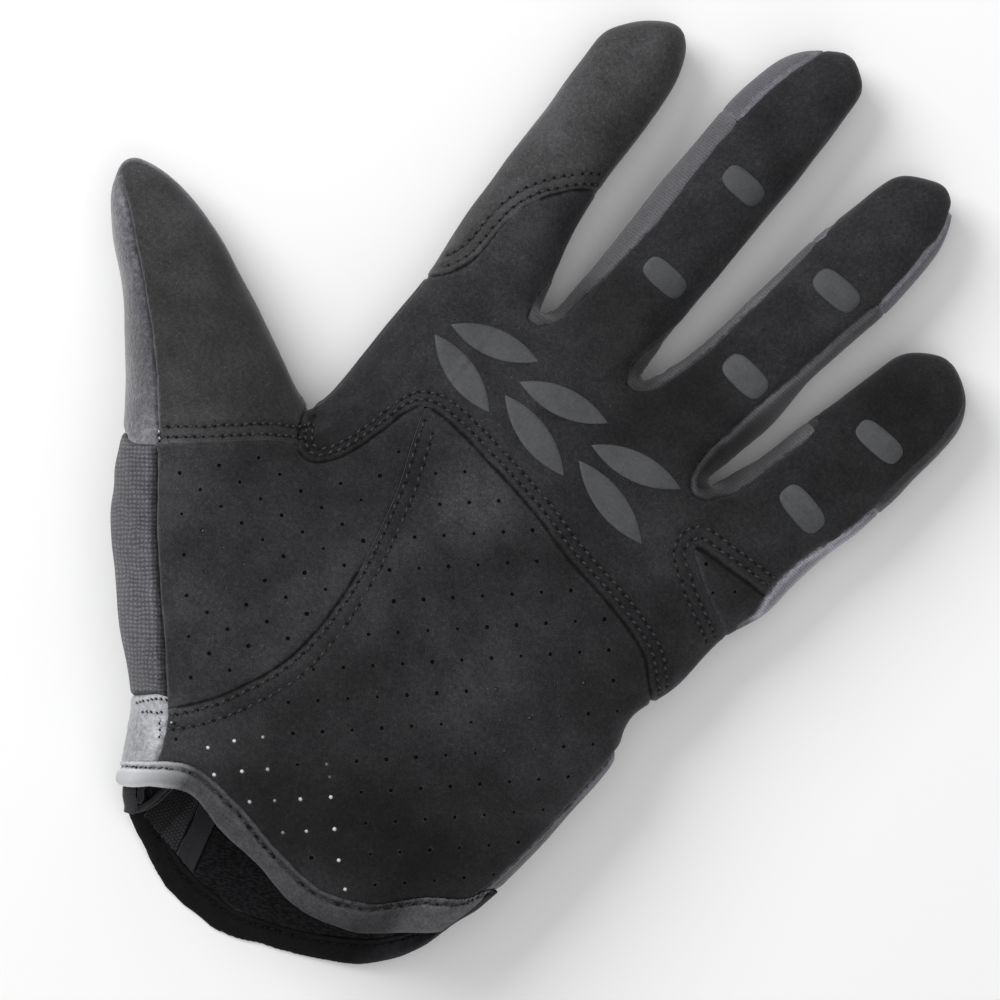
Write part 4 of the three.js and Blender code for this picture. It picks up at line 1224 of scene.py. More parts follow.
def seam_shade(tree, colour, dark, groove=0.7, lip=1.2):
    """The colour darkened in the groove of the sewn edge, a painted shade, lighter on the lip by it, a
    painted highlight, and scaled by one plus the attribute that carries wear and painted light.
    """
    edge = add(tree, "ShaderNodeAttribute", attribute_name="edge").outputs["Fac"]
    uneven = between(tree, mottled(tree, ((1.6, 1.0, 2),)), 0.3, 0.7, -0.2, 0.2)
    edge = add(tree, "ShaderNodeMath", {0: edge, 1: uneven}, operation="ADD").outputs[0]
    wear = add(tree, "ShaderNodeAttribute", attribute_name="wear").outputs["Fac"]
    total = add(tree, "ShaderNodeMath", {0: wear, 1: 1.0}, operation="ADD").outputs[0]
    # Painted shade in the groove, then a painted highlight on the lip beside it.
    for start, end, shade in ((0.05, groove, dark), (groove, groove + 0.9, lip)):
        part = between(tree, edge, start, end, shade, 1.0)
        total = add(tree, "ShaderNodeMath", {0: total, 1: part}, operation="MULTIPLY").outputs[0]
    return add(tree, "ShaderNodeVectorMath", {0: colour, 3: total}, operation="SCALE").outputs[0]


def napped_suede(name, dark, middle, light):
    """Synthetic suede, split and sueded: matt, its short nap brushed into soft lighter and darker patches."""
    material, tree = new_material(name)
    factor = mottled(tree, ((26, 0.32, 2), (6, 0.17, 3), (1.0, 0.2, 3), (0.36, 0.31, 2)))
    colour = ramp(tree, factor, ((0.38, dark), (0.5, middle), (0.63, light)))
    lint = between(tree, mottled(tree, ((0.55, 1.0, 1),)), 0.71, 0.79, 1.0, 2.2)
    colour = add(tree, "ShaderNodeVectorMath", {0: colour, 3: lint}, operation="SCALE").outputs[0]
    inputs = {
        "Base Color": seam_shade(tree, colour, 0.16),
        "Roughness": 0.95,
        "Specular IOR Level": 0.25,
        "Sheen Weight": 0.6,
        "Sheen Roughness": 0.32,
        "Sheen Tint": linear("#8a8a8e"),
    }
    return shaded(material, inputs, mottled(tree, ((0.5, 0.6, 3), (1.6, 0.4, 2))), 0.35, 0.25)


def brushed_fleece(name, dark, middle, light, seam):
    """Polyester fleece, brushed: matt, with soft tufts about 1 mm wide in lighter and darker fibres."""
    material, tree = new_material(name)
    factor = mottled(tree, ((8, 0.25, 2), (1.3, 0.4, 4), (0.5, 0.35, 3)))
    colour = ramp(tree, factor, ((0.36, dark), (0.5, middle), (0.64, light)))
    inputs = {
        "Base Color": seam_shade(tree, colour, seam),
        "Roughness": 1.0,
        "Specular IOR Level": 0.2,
        "Sheen Weight": 0.5,
        "Sheen Roughness": 0.5,
    }
    return shaded(material, inputs, mottled(tree, ((1.2, 0.6, 3), (0.45, 0.4, 2))), 0.8, 0.6)


def knitted_cloth(
    name, dark, light, turn, pitch, across, depth,
    seam=0.6, groove=0.45, bend=0.1, knots=0.3, fuzz=1.6, hair=0.45, lip=1.2, level=False,
):
    """Rib-knitted nylon: ribs of small loops under a fuzz of fibres, so it looks grainy and matt.

    The ribs lie pitch mm apart at turn degrees from +X. Their loops are across mm long and knots high, level
    with those of the next rib or half a loop on. Noise bends them, and fibres hair mm thick are fuzz high.
    """
    material, tree = new_material(name)
    where = add(tree, "ShaderNodeTexCoord").outputs["Object"]
    bent = add(tree, "ShaderNodeTexNoise", {"Vector": where, "Scale": 1000 / 5, "Detail": 2}).outputs[1]
    bent = add(tree, "ShaderNodeVectorMath", {0: bent, 3: bend / 100}, operation="SCALE").outputs[0]
    where = add(tree, "ShaderNodeVectorMath", {0: where, 1: bent}, operation="ADD").outputs[0]
    turned = add(tree, "ShaderNodeMapping", {0: where, 2: (0, 0, -math.radians(turn))}).outputs[0]
    part = add(tree, "ShaderNodeSeparateXYZ", {0: turned})
    waves = []
    for socket, size in ((part.outputs[0], across / 2), (part.outputs[1], pitch)):
        turns = {0: socket, 1: 1000 * math.pi / size}
        phase = add(tree, "ShaderNodeMath", turns, operation="MULTIPLY").outputs[0]
        waves.append(add(tree, "ShaderNodeMath", {0: phase}, operation="COSINE").outputs[0])
    loop, rib = waves
    ribs = add(tree, "ShaderNodeMath", {0: rib, 1: rib}, operation="MULTIPLY").outputs[0]
    loops = add(tree, "ShaderNodeMath", {0: loop, 1: ribs if level else rib}, operation="MULTIPLY").outputs[0]
    loops = add(tree, "ShaderNodeMath", {0: loops, 1: knots}, operation="MULTIPLY").outputs[0]
    height = add(tree, "ShaderNodeMath", {0: loops, 1: ribs}, operation="ADD").outputs[0]
    fibres = mottled(tree, ((hair, fuzz, 3), (4, 1.2, 2)))
    height = add(tree, "ShaderNodeMath", {0: height, 1: fibres}, operation="ADD").outputs[0]
    shade = between(tree, height, fuzz / 2 - 0.1, fuzz / 2 + 2.4, 0.0, 1.0)
    colour = ramp(tree, shade, ((0.1, dark), (0.9, light)))
    inputs = {
        "Base Color": seam_shade(tree, colour, seam, groove, lip),
        "Roughness": 0.9,
        "Specular IOR Level": 0.3,
        "Sheen Weight": 0.2,
    }
    return shaded(material, inputs, height, 0.6, depth)


def crepe_lining(name, dark, light, turn, size):
    """Crepe woven of twisted yarn: matt, with crinkles size mm wide and 2.6 times as long, turned by turn."""
    material, tree = new_material(name)
    where = add(tree, "ShaderNodeTexCoord").outputs["Object"]
    sockets = {0: where, 2: (0, 0, math.radians(turn)), 3: (2.6, 1, 1)}
    drawn_out = add(tree, "ShaderNodeMapping", sockets, vector_type="TEXTURE").outputs[0]
    sockets = {"Vector": drawn_out, "Scale": 1000 / size, "Detail": 2}
    crinkle = add(tree, "ShaderNodeTexNoise", sockets).outputs[0]
    colour = ramp(tree, crinkle, ((0.42, dark), (0.62, light)))
    inputs = {"Base Color": colour, "Roughness": 0.9, "Specular IOR Level": 0.12}
    return shaded(material, inputs, crinkle, 0.9, 0.5)


def stretch_binding(name, dark, light, bleached):
    """Knitted elastic tape folded over the edge: finely ribbed, and bleached at its end by the thumb."""
    material, tree = new_material(name)
    where = add(tree, "ShaderNodeTexCoord").outputs["Object"]
    across = add(tree, "ShaderNodeSeparateXYZ", {0: where}).outputs[0]
    pale = between(tree, across, 0.005, -0.0057, 0.0, 1.0)
    factor = mottled(tree, ((3, 0.3, 2), (0.7, 0.4, 3), (0.35, 0.3, 2)))
    colour = ramp(tree, factor, ((0.35, dark), (0.65, light)))
    sockets = {0: pale, 6: colour, 7: linear(bleached)}
    colour = add(tree, "ShaderNodeMix", sockets, data_type="RGBA").outputs[2]
    colour = seam_shade(tree, colour, 0.12, 0.85)
    inputs = {"Base Color": colour, "Roughness": 0.95, "Specular IOR Level": 0.2}
    return shaded(material, inputs, factor, 0.5, 0.3)


def printed_silicone(name, dark, light):
    """Screen-printed silicone: smooth and a little glossy, with a faint cloudiness from the ink below."""
    material, tree = new_material(name)
    factor = mottled(tree, ((4, 0.3, 2), (0.8, 0.3, 2), (0.3, 0.4, 2)))
    colour = ramp(tree, factor, ((0.4, dark), (0.6, light)))
    inputs = {"Base Color": colour, "Roughness": 0.55, "IOR": 1.41, "Specular IOR Level": 0.4}
    return shaded(material, inputs)


def spun_thread(name, code):
    """Bonded polyester thread: matt after long use, black where it dives into its needle holes, a painted
    shade.

    Its attribute depth is 0 on top of a stitch and 1 in its hole. The lining in the air holes is alike: there
    depth sets how dark the painted shade over it is.
    """
    material, tree = new_material(name)
    depth = add(tree, "ShaderNodeAttribute", attribute_name="depth").outputs["Fac"]
    colour = ramp(tree, depth, ((0.35, code), (0.9, "#0a0a0b")))
    return shaded(material, {"Base Color": colour, "Roughness": 0.75, "Specular IOR Level": 0.25})


@made_once
def materials():
    """One material for each finish of the glove."""
    return {
        "suede": napped_suede("Sueded microfibre, black", "#19191b", "#29292b", "#3b3b3d"),
        "suede_light": napped_suede("Sueded microfibre, charcoal", "#272729", "#39393a", "#4c4c4e"),
        "fleece": brushed_fleece("Brushed polyester fleece, grey", "#434348", "#5f5f64", "#7c7c81", 0.4),
        "rib_knit": knitted_cloth(
            "Rib-knitted nylon, grey", "#26262a", "#66666c", 38, 1.0, 0.95, 0.32,
            seam=0.05, groove=1.6, bend=0.15, knots=0.65, fuzz=3.0, hair=0.3, level=True,
        ),
        "strip_knit": knitted_cloth(
            "Warp-knitted nylon, grey", "#4b4b4f", "#656569", 0, 0.7, 0.5, 0.05, seam=0.4, fuzz=3.8
        ),
        "pale_cloth": brushed_fleece("Brushed jersey, pale grey", "#7b7c80", "#9b9ca0", "#b9babe", 0.75),
        "back_cloth": knitted_cloth(
            "Stretch jersey, black", "#1e1e20", "#2a2a2d", 0, 0.6, 0.6, 0.04,
            seam=0.2, groove=0.5, fuzz=4.5, lip=2.1,
        ),
        "binding": stretch_binding("Stretch binding, grey", "#343436", "#4f4f52", "#bdbec1"),
        "binding_dark": stretch_binding("Stretch binding, black", "#0a0a0b", "#161618", "#19191b"),
        "lining": crepe_lining("Crepe lining, black", "#0f0f10", "#222225", 22, 0.4),
        "net": knitted_cloth(
            "Mesh lining, black", "#08080a", "#3c3c40", -12, 0.8, 0.8, 0.2, bend=0.05, knots=1.0
        ),
        "tape": knitted_cloth("Woven tape, black", "#1e1e21", "#303034", 10, 0.45, 0.8, 0.05),
        "fold": knitted_cloth("Elastic tape, charcoal", "#2a2a2d", "#454549", 10, 0.45, 0.8, 0.05),
        "silicone": printed_silicone("Printed silicone, grey", "#404143", "#4d4e51"),
        "thread": spun_thread("Bonded thread, charcoal", "#3d3d40"),
        "pale_thread": spun_thread("Bonded thread, pale grey", "#b9babd"),
        "dark_thread": spun_thread("Bonded thread, black", "#0e0e0f"),
        # The pale lining in the air holes goes black with depth, a painted shade.
        "hole_lining": spun_thread("Lining cloth in the air holes, pale and soiled", "#d8d4d1"),
    }


PALM_NODES = ("palm_upper_panel", "palm_heel_panel", "thenar_panel", "heel_gusset", "index_tip_panel")
# CAD node of each shell panel: the piece's name and its material.
PANELS = {
    "palm_upper_panel": ("palm_upper_suede", "suede"),
    "palm_heel_panel": ("palm_heel_suede", "suede"),
    "thenar_panel": ("thenar_suede", "suede"),
    "heel_gusset": ("heel_gusset_suede", "suede"),
    "index_tip_panel": ("index_tip_suede", "suede_light"),
    "thumb_front_panel": ("thumb_front_suede", "suede_light"),
    "thumb_back_panel": ("thumb_back_fleece", "fleece"),
    "thumb_side_knit": ("thumb_side_ribs", "rib_knit"),
    "cuff_side_tab": ("cuff_side_jersey", "pale_cloth"),
    "hand_back_panel": ("hand_back_jersey", "back_cloth"),
    "index_back_tip": ("index_back_cap", "back_cloth"),
    "middle_back_tip": ("middle_back_cap", "back_cloth"),
    "ring_back_tip": ("ring_back_cap", "back_cloth"),
    "little_back_tip": ("little_back_cap", "back_cloth"),
    "fourchette_index_middle": ("index_middle_strip", "strip_knit"),
    "fourchette_middle_ring": ("middle_ring_strip", "strip_knit"),
    "fourchette_ring_little": ("ring_little_strip", "strip_knit"),
}
THUMB_NODES = ("thumb_front_panel", "thumb_back_panel", "thumb_side_knit", "cuff_side_tab")
BACK_NODES = ("hand_back_panel", "index_back_tip", "middle_back_tip", "ring_back_tip", "little_back_tip")
STRIP_NODES = ("fourchette_index_middle", "fourchette_middle_ring", "fourchette_ring_little")
# Panels of the back whose side walls are pale beyond an x, and by how much.
PALE_SIDES = {
    "hand_back_panel": (40, 3.2),
    "little_back_tip": (60, 1.0),
    "middle_back_tip": (-40, 4.4),
    "ring_back_tip": (-40, 5.6),
}


def make_panel(node, context):
    """One panel of the shell as a cloth piece."""
    name, finish = PANELS[node]
    mesh = panel_mesh(node)
    if not len(mesh["faces"]):
        raise RuntimeError(node + " came out empty")
    return make_piece(name, mesh, materials()[finish], node, context.scene.glove_sizes.cloth * 1000)


def lattice(first, *steps):
    """Places at whole numbers of two steps from the first, up to 16 each way."""
    counts = np.arange(-16, 17)
    return first + np.stack(np.meshgrid(counts, counts, indexing="ij"), -1).reshape(-1, 2) @ np.array(steps)


def air_holes():
    """Centres of the air holes of each panel: on the heel and the ball, a lattice kept clear of the seams."""
    plan = skin()["plan"]
    heel = lattice(*HEEL_LATTICE)
    keep = (plan.read("heel", *heel.T) > 5.4) & (plan.read("fingers", *heel.T) < -1.6) & (heel[:, 0] < 51)
    keep &= heel[:, 1] > rim_line("binding", heel[:, 0], RIM_HIGH) + 1.5
    pale = np.array(PALE_HOLES)[:, :2]
    heel = np.vstack([heel[keep & ~within(heel, pale, 3.3)], pale])
    ball = lattice(*BALL_LATTICE)
    keep = (plan.read("heel", *ball.T) < -2.2) & (plan.read("thumb front", *ball.T) < -1.3)
    keep &= (plan.read("fingers", *ball.T) < -3.0) & (plan.read("palm of thumb seam", *ball.T) > 3.0)
    keep &= top_height(*ball.T) > 8
    return {"palm_heel_panel": heel, "thenar_panel": ball[keep], "heel_gusset": np.array(GUSSET_HOLES)}


def within(points, places, reach):
    """Which points lie closer than reach to one of some places of the plan."""
    return np.hypot(*(points[:, None] - np.array(places)[None]).transpose(2, 0, 1)).min(1) < reach


def around(normal):
    """Unit vectors square to each normal, HOLE_SIDES of them evenly round it."""
    across = np.cross(normal, (0.0, 1.0, 0.0))
    across /= np.linalg.norm(across, axis=1, keepdims=True)
    return rings(across, np.cross(normal, across), HOLE_SIDES)


def beads(middle, normal, radius, high, depth):
    """Flat double cones, fused: each of that radius, with tips that high above and below its middle."""
    count, each = len(middle), HOLE_SIDES + 2
    ring = middle[:, None] + np.reshape(radius, (-1, 1, 1)) * around(normal)
    tips = middle[:, None] + np.array([high, -high])[None, :, None] * normal[:, None]
    k = np.arange(HOLE_SIDES)
    n = (k + 1) % HOLE_SIDES
    faces = np.vstack([np.stack([k, n, 0 * k + each - 2], 1), np.stack([n, k, 0 * k + each - 1], 1)])
    faces = (faces[None] + each * np.arange(count)[:, None, None]).reshape(-1, 3)
    points = np.concatenate([ring, tips], 1).reshape(-1, 3)
    return {"points": points, "faces": faces, "depth": np.repeat(np.broadcast_to(depth, count), each)}


def fused(*parts):
    """Several meshes as one."""
    made = {name: np.concatenate([part[name] for part in parts]) for name in parts[0]}
    shift = np.cumsum([0] + [len(part["points"]) for part in parts])
    made["faces"] = np.vstack([part["faces"] + s for part, s in zip(parts, shift)])
    return made


def pierce(piece, centres):
    """Cuts the air holes through a piece with one Boolean: prisms along the surface's normal."""
    sides = HOLE_SIDES
    normal = top_normal(*centres.T)
    radius = np.random.RandomState(51).uniform(*HOLE_RADIUS, (len(centres), 1, 1))
    ring = on_palm(centres)[:, None] + radius * around(normal)
    points = np.stack([ring + depth * normal[:, None] for depth in (-4.0, 1.6)], 1).reshape(-1, 3)
    k = np.arange(sides)
    n = (k + 1) % sides
    walls = np.stack([k, n, n + sides, k + sides], 1)
    faces = [tuple(f) for f in walls] + [tuple(k[::-1]), tuple(k + sides)]
    every = [tuple(int(v) + 2 * sides * c for v in f) for c in range(len(centres)) for f in faces]
    data = bpy.data.meshes.new("hole_punch")
    data.from_pydata(((points - ORIGIN) / 1000).tolist(), [], every)
    punch = bpy.data.objects.new("hole_punch", data)
    bpy.context.scene.collection.objects.link(punch)
    cut = piece.modifiers.new("holes", "BOOLEAN")
    cut.operation = "DIFFERENCE"
    cut.solver = "EXACT"
    cut.object = punch
    bake(piece)
    bpy.data.objects.remove(punch)
    bpy.data.meshes.remove(data)


def lining_spots():
    """What shows in the air holes: pale lining close under some, with painted shade over parts, and in the
    others a black bead 0.6 mm down, painted shade in the hollow.
    """
    found = []
    for centres in air_holes().values():
        normal = top_normal(*centres.T)
        pale = within(centres, np.array(PALE_HOLES)[:, :2], 0.1)
        grey = within(centres, GREY_HOLES, 3.4)
        depth = np.where(grey, 0.78, 0.92)
        if pale.any():
            depth[pale] = np.array(PALE_HOLES)[:, 2]
        radius = np.where(pale, 0.6 - 0.25 * depth, 0.62)
        middle = on_palm(centres) - np.where(pale, 0.02, 0.6)[:, None] * normal
        found.append(beads(middle, normal, radius, 0.12, depth))
    return fused(*found)


def bake(piece):
    """Applies a piece's modifiers to its mesh."""
    bpy.context.view_layer.update()
    graph = bpy.context.evaluated_depsgraph_get()
    made = bpy.data.meshes.new_from_object(piece.evaluated_get(graph))
    piece.modifiers.clear()
    old = piece.data
    piece.data = made
    bpy.data.meshes.remove(old)


def tape_parting(x):
    """Height at which the palm's binding goes over into the back's."""
    return np.interp(x, (-30, 50), (8, 24))


@made_once
def rim_bands():
    """Both bindings as closed surfaces, and the map of their heights with its corner.

    A wall 2 TAPE_HALF thick round the shell is kept between the binding line and the edge, rounded where it
    turns over, and drawn in along the rows of stitches.
    """
    low, high = (np.array(corner) for corner in RIM_BOX)
    field = softened(body_field(low, high, RIM_GRID), 4)
    x, y, z = np.meshgrid(*axes(low, high, RIM_GRID), indexing="ij")
    field -= skin()["plan"].relief_at(x, y, z)
    wall = np.abs(field + TAPE_MIDDLE) - TAPE_HALF
    edge, inner = rim_line("edge", x, z) - y, y - rim_line("binding", x, z)
    on_palm_side = step_up(z - tape_parting(x), -1, 1)
    puckers = 0.16 * noise(np.stack([x, y, z], -1), 2.6, 31)
    for side_name, away, drawn in BINDING_ROWS:
        palm = side_name == "palm"
        on_side = on_palm_side if palm else 1 - on_palm_side
        facing = step_up(field if palm else -2 * TAPE_MIDDLE - field, -1.3, -0.4)
        uneven = 1 + 0.3 * noise(np.stack([x, y], -1), 1.5, 33)
        puckers -= drawn * facing * on_side * bell(inner + away, 0.55) * uneven
    edge = edge + 0.15 * noise(np.stack([x, z], -1), 4.0, 34)
    band = -soft_join(-wall + puckers, -edge, 2.4)
    band = -soft_join(-band, -inner, 0.7)
    band = np.maximum(band, RESTING - z).astype(np.float32)
    points, faces = surface_net(band, low, RIM_GRID)
    points, _ = settled(points, band, low, RIM_GRID, 1)
    x, y, z = points.T
    split = z - tape_parting(x)
    outside, inside = y - rim_line("edge", x, z), rim_line("binding", x, z) - y
    row = np.abs(inside - np.where(split > 0, BINDING_ROWS[0][1], BINDING_ROWS[1][1]))
    # A painted highlight runs along the tapes' outer edge, strongest on the palm tape's left part. The palm
    # tape is paler at its right end and a little darker just before it, the back tape far paler at its right
    # end. The edge map gives painted shade at the inner line and in each stitch row's groove.
    on_palm_tape = 0.9 * step_up(x, 38, 44) - 0.35 * bell(x - 35, 5)
    wear = 0.8 * bell(outside, 0.7) * np.where(split > 0, step_up(-x, -22, -8), 0.4)
    wear += np.where(split > 0, on_palm_tape, 4 * step_up(x, 37, 46))
    seams = np.minimum.reduce([outside + 0.9, inside + 0.3, row + 0.1])
    mesh = {"points": points, "faces": faces, "edge": seams, "wear": wear}
    slit = 0.17  # half of the line left open between the two bindings
    return clipped(mesh, split - slit), clipped(mesh, -split - slit), (heights(band, low, RIM_GRID), low)


def along_path(points, pitch):
    """Points and directions at equal steps along a line, the first half a step from its start."""
    steps = np.linalg.norm(np.diff(points, axis=0), axis=1)
    run = np.concatenate([[0], np.cumsum(steps)])
    at = np.arange(pitch / 2, run[-1], pitch)
    made, ahead, behind = (
        np.stack([np.interp(at + shift, run, part) for part in points.T], 1) for shift in (0, 0.3, -0.3)
    )
    way = ahead - behind
    return made, way / np.maximum(np.linalg.norm(way, axis=1, keepdims=True), 1e-9)


def contour(grid_map, level, window):
    """Lines where a map has that value inside a window: its crossings of the grid, walked one by one."""
    plan = skin()["plan"]
    x0, x1, y0, y1 = window
    value = grid_map - level
    at = []
    for axis in (0, 1):
        a, b = (value[:-1], value[1:]) if axis == 0 else (value[:, :-1], value[:, 1:])
        i, j = np.nonzero((a < 0) != (b < 0))
        t = a[i, j] / (a[i, j] - b[i, j])
        x = plan.low[0] + (i + (t if axis == 0 else 0)) * PLAN_STEP
        y = plan.low[1] + (j + (t if axis == 1 else 0)) * PLAN_STEP
        at.append(np.stack([x, y], 1))
    at = np.vstack(at)
    at = at[(at[:, 0] > x0) & (at[:, 0] < x1) & (at[:, 1] > y0) & (at[:, 1] < y1)]
    lines = []
    free = np.ones(len(at), bool)
    while free.sum() > 8:
        line = [int(np.flatnonzero(free)[0])]
        free[line[0]] = False
        for end in (-1, 0):
            while True:
                away = np.hypot(*(at - at[line[end]]).T)
                away[~free] = 99
                near = int(away.argmin())
                if away[near] > 1.6 * PLAN_STEP:
                    break
                free[near] = False
                line.insert(0 if end == 0 else len(line), near)
        if len(line) > 12:
            lines.append(at[line])
    return lines


def tube_faces(rows, sides):
    """Triangles of a tube of rings, rows of them with that many sides each, and of its two ends."""
    r, k = np.meshgrid(np.arange(rows - 1), np.arange(sides), indexing="ij")
    p, q = r * sides + k, r * sides + (k + 1) % sides
    quads = np.stack([p, q, q + sides, p + sides], -1).reshape(-1, 4)
    i = np.arange(1, sides - 1)
    top = (rows - 1) * sides
    ends = [np.stack([0 * i, i + 1, i], 1), np.stack([0 * i + top, top + i, top + i + 1], 1)]
    return np.vstack([halved(quads), *ends])


def stitch_mesh(centres, ways, normals, length, radius):
    """Stitches fused in one mesh: each is a spindle, turned by STITCH_SLANT from its row.

    Its radius is r(1 - |a|³)^½ at a from -1 to 1 along it. It bows up in the middle and sinks at its ends.
    """
    slant = math.radians(STITCH_SLANT)
    ways = ways * math.cos(slant) + np.cross(normals, ways) * math.sin(slant)
    sides, a = STITCH_SIDES, np.array(STITCH_STATIONS)
    swell = radius * np.sqrt(np.clip(1 - np.abs(a) ** 3, 0.04, 1))
    bow = 0.14 - 0.36 * a**2
    across = np.cross(ways, normals)
    across /= np.maximum(np.linalg.norm(across, axis=1, keepdims=True), 1e-9)
    centre = centres[:, None] + ways[:, None] * (a * length / 2)[None, :, None]
    centre = centre + normals[:, None] * bow[None, :, None]
    points = centre[:, :, None] + rings(across, normals, sides)[:, None] * swell[None, :, None, None]
    faces = tube_faces(len(a), sides)
    every = (faces[None] + np.arange(len(centres))[:, None, None] * len(a) * sides).reshape(-1, 3)
    # depth is 1 at each end, where the thread is painted black as it sinks: painted shade.
    depth = np.tile(np.repeat(np.abs(a), sides), len(centres))
    return {"points": points.reshape(-1, 3), "faces": every, "depth": depth}


def rings(across, over, sides):
    """Points of a ring round each place: cos a across and sin a over, at equal turns a."""
    turn = 2 * np.pi * np.arange(sides) / sides
    return np.cos(turn)[None, :, None] * across[:, None] + np.sin(turn)[None, :, None] * over[:, None]


def sewn(found, pitch, length, radius, hole):
    """Stitches and, half a pitch after each, a black bead where the needle went in, painted shade in its
    hollow.
    """
    centres, ways, normals = found
    aside = 0.12 * np.cross(ways, normals)
    holes = beads(centres + ways * pitch / 2 + aside + 0.07 * normals, normals, hole, 0.1, 1.0)
    return fused(stitch_mesh(centres, ways, normals, length, radius), holes)


def swept(path, wide, high, depth=0.0):
    """A closed band along a line: ellipses of that half-width and half-height, drawn in at both ends."""
    sides = 8
    way = np.gradient(path, axis=0)
    way /= np.linalg.norm(way, axis=1, keepdims=True)
    across = np.cross(way, (0.0, 0.0, 1.0))
    across /= np.linalg.norm(across, axis=1, keepdims=True)
    size = np.ones(len(path))
    size[[0, -1]] = 0.1
    ring = rings(wide * across, high * np.cross(across, way), sides)
    points = (path[:, None] + ring * size[:, None, None]).reshape(-1, 3)
    made = {"points": points, "faces": tube_faces(len(path), sides)}
    return made | {"depth": np.full(len(points), depth), "edge": np.full(len(points), NO_SEAM)}


def on_palm(points):
    """Plan points lifted to the palm side."""
    x, y = points.T
    return np.stack([x, y, top_height(x, y)], 1)


def evened(line, reach):
    """A line with each point at the mean of those up to reach before and after it."""
    weights = np.ones(2 * reach + 1) / (2 * reach + 1)
    padded = [np.pad(part, reach, mode="edge") for part in line.T]
    return np.stack([np.convolve(part, weights, mode="valid") for part in padded], 1)


def stitches_along(line, pitch, seed):
    """Centres, directions and normals of slightly uneven stitches along a plan line on the palm side."""
    centres, ways = along_path(on_palm(evened(line, 3)), pitch)
    normals = top_normal(*centres[:, :2].T)
    centres[:, :2] += 0.06 * np.random.RandomState(seed).normal(0, 1, (len(centres), 2))
    return centres + 0.05 * normals, ways, normals


def binding_row(side_name, away, pitch):
    """Stitches along a binding, away from its inner line: three passes find their height."""
    top, low = rim_bands()[2]
    first, last, start_height = (-29.5, 42.0, 36.0) if side_name == "palm" else (-18.5, 47.5, 4.0)
    x = np.arange(first, last, 0.3)
    z = np.full(len(x), start_height)
    for _ in range(3):
        y = rim_line("binding", x, z) - away
        z = read_map(top, low, RIM_GRID, x, y)
    centres, ways = along_path(np.stack([x, y, z], 1), pitch)
    return centres, ways, map_normal(top, low, RIM_GRID, *centres.T[:2])


def leaf(length, width, angle):
    """Radius of a pointed oval between two arcs at an angle from its middle."""
    sag = width / 2
    radius = length * length / (8 * sag) + sag / 2
    c, s = np.abs(np.cos(angle)), np.abs(np.sin(angle))
    drop = radius - sag
    return np.sqrt(radius**2 - (drop * c) ** 2) - drop * s


def bar(length, width, angle):
    """Radius of a superellipse of power 3.2 at an angle from its middle."""
    c, s = np.abs(np.cos(angle)) / (length / 2), np.abs(np.sin(angle)) / (width / 2)
    return (c**3.2 + s**3.2) ** (-1 / 3.2)


def print_mesh(outline, x, y, length, width, turn):
    """A grip print: rings from its middle to its outline at share t, and a flat underside in the suede.

    It rises over the palm by PRINT_RISE (1 - t¹⁰)^½.
    """
    sides = 72
    angle = 2 * np.pi * np.arange(sides) / sides
    reach = outline(length, width, angle)
    share = np.concatenate([np.linspace(0.06, 0.9, 10), [0.94, 0.965, 0.98, 0.99, 0.997, 1.0]])
    px, py = reach * np.cos(angle), reach * np.sin(angle)
    c, s = math.cos(math.radians(turn)), math.sin(math.radians(turn))
    gx, gy = x + share[:, None] * (px * c - py * s), y + share[:, None] * (px * s + py * c)
    height = top_height(gx, gy)
    raised = PRINT_RIM + PRINT_RISE * np.sqrt(np.clip(1 - share**10, 0, 1))
    top = np.stack([gx, gy, height + raised[:, None]], -1).reshape(-1, 3)
    under = np.stack([gx, gy, height - PRINT_ROOT], -1)[::-1].reshape(-1, 3)
    middle = on_palm(np.array([[x, y]]))
    points = np.vstack([top, under, middle + (0, 0, raised[0]), middle - (0, 0, PRINT_ROOT)])
    rows = 2 * len(share)
    r, k = np.meshgrid(np.arange(rows - 1), np.arange(sides), indexing="ij")
    p, q = r * sides + k, r * sides + (k + 1) % sides
    quads = np.stack([p, p + sides, q + sides, q], -1).reshape(-1, 4)
    k = np.arange(sides)
    n = (k + 1) % sides
    last = (rows - 1) * sides
    crown, foot = len(points) - 2, len(points) - 1
    fans = [np.stack([0 * k + crown, k, n], 1), np.stack([0 * k + foot, last + n, last + k], 1)]
    return {"points": points, "faces": np.vstack([halved(quads), *fans])}


def floor_height(x, y):
    """Height of the shell's inner face on the back: the lowest place where the distance is SHELL inside."""
    made = skin()
    z = np.arange(0.2, 16, 0.25)
    column = np.stack(np.broadcast_arrays(np.ravel(x)[:, None], np.ravel(y)[:, None], z[None]), -1)
    depth = read_grid(made["field"], made["low"], GRID, column.reshape(-1, 3)).reshape(-1, len(z))
    deep = depth < -SHELL
    return np.where(deep.any(1), z[deep.argmax(1)], 16.0).reshape(np.shape(x))


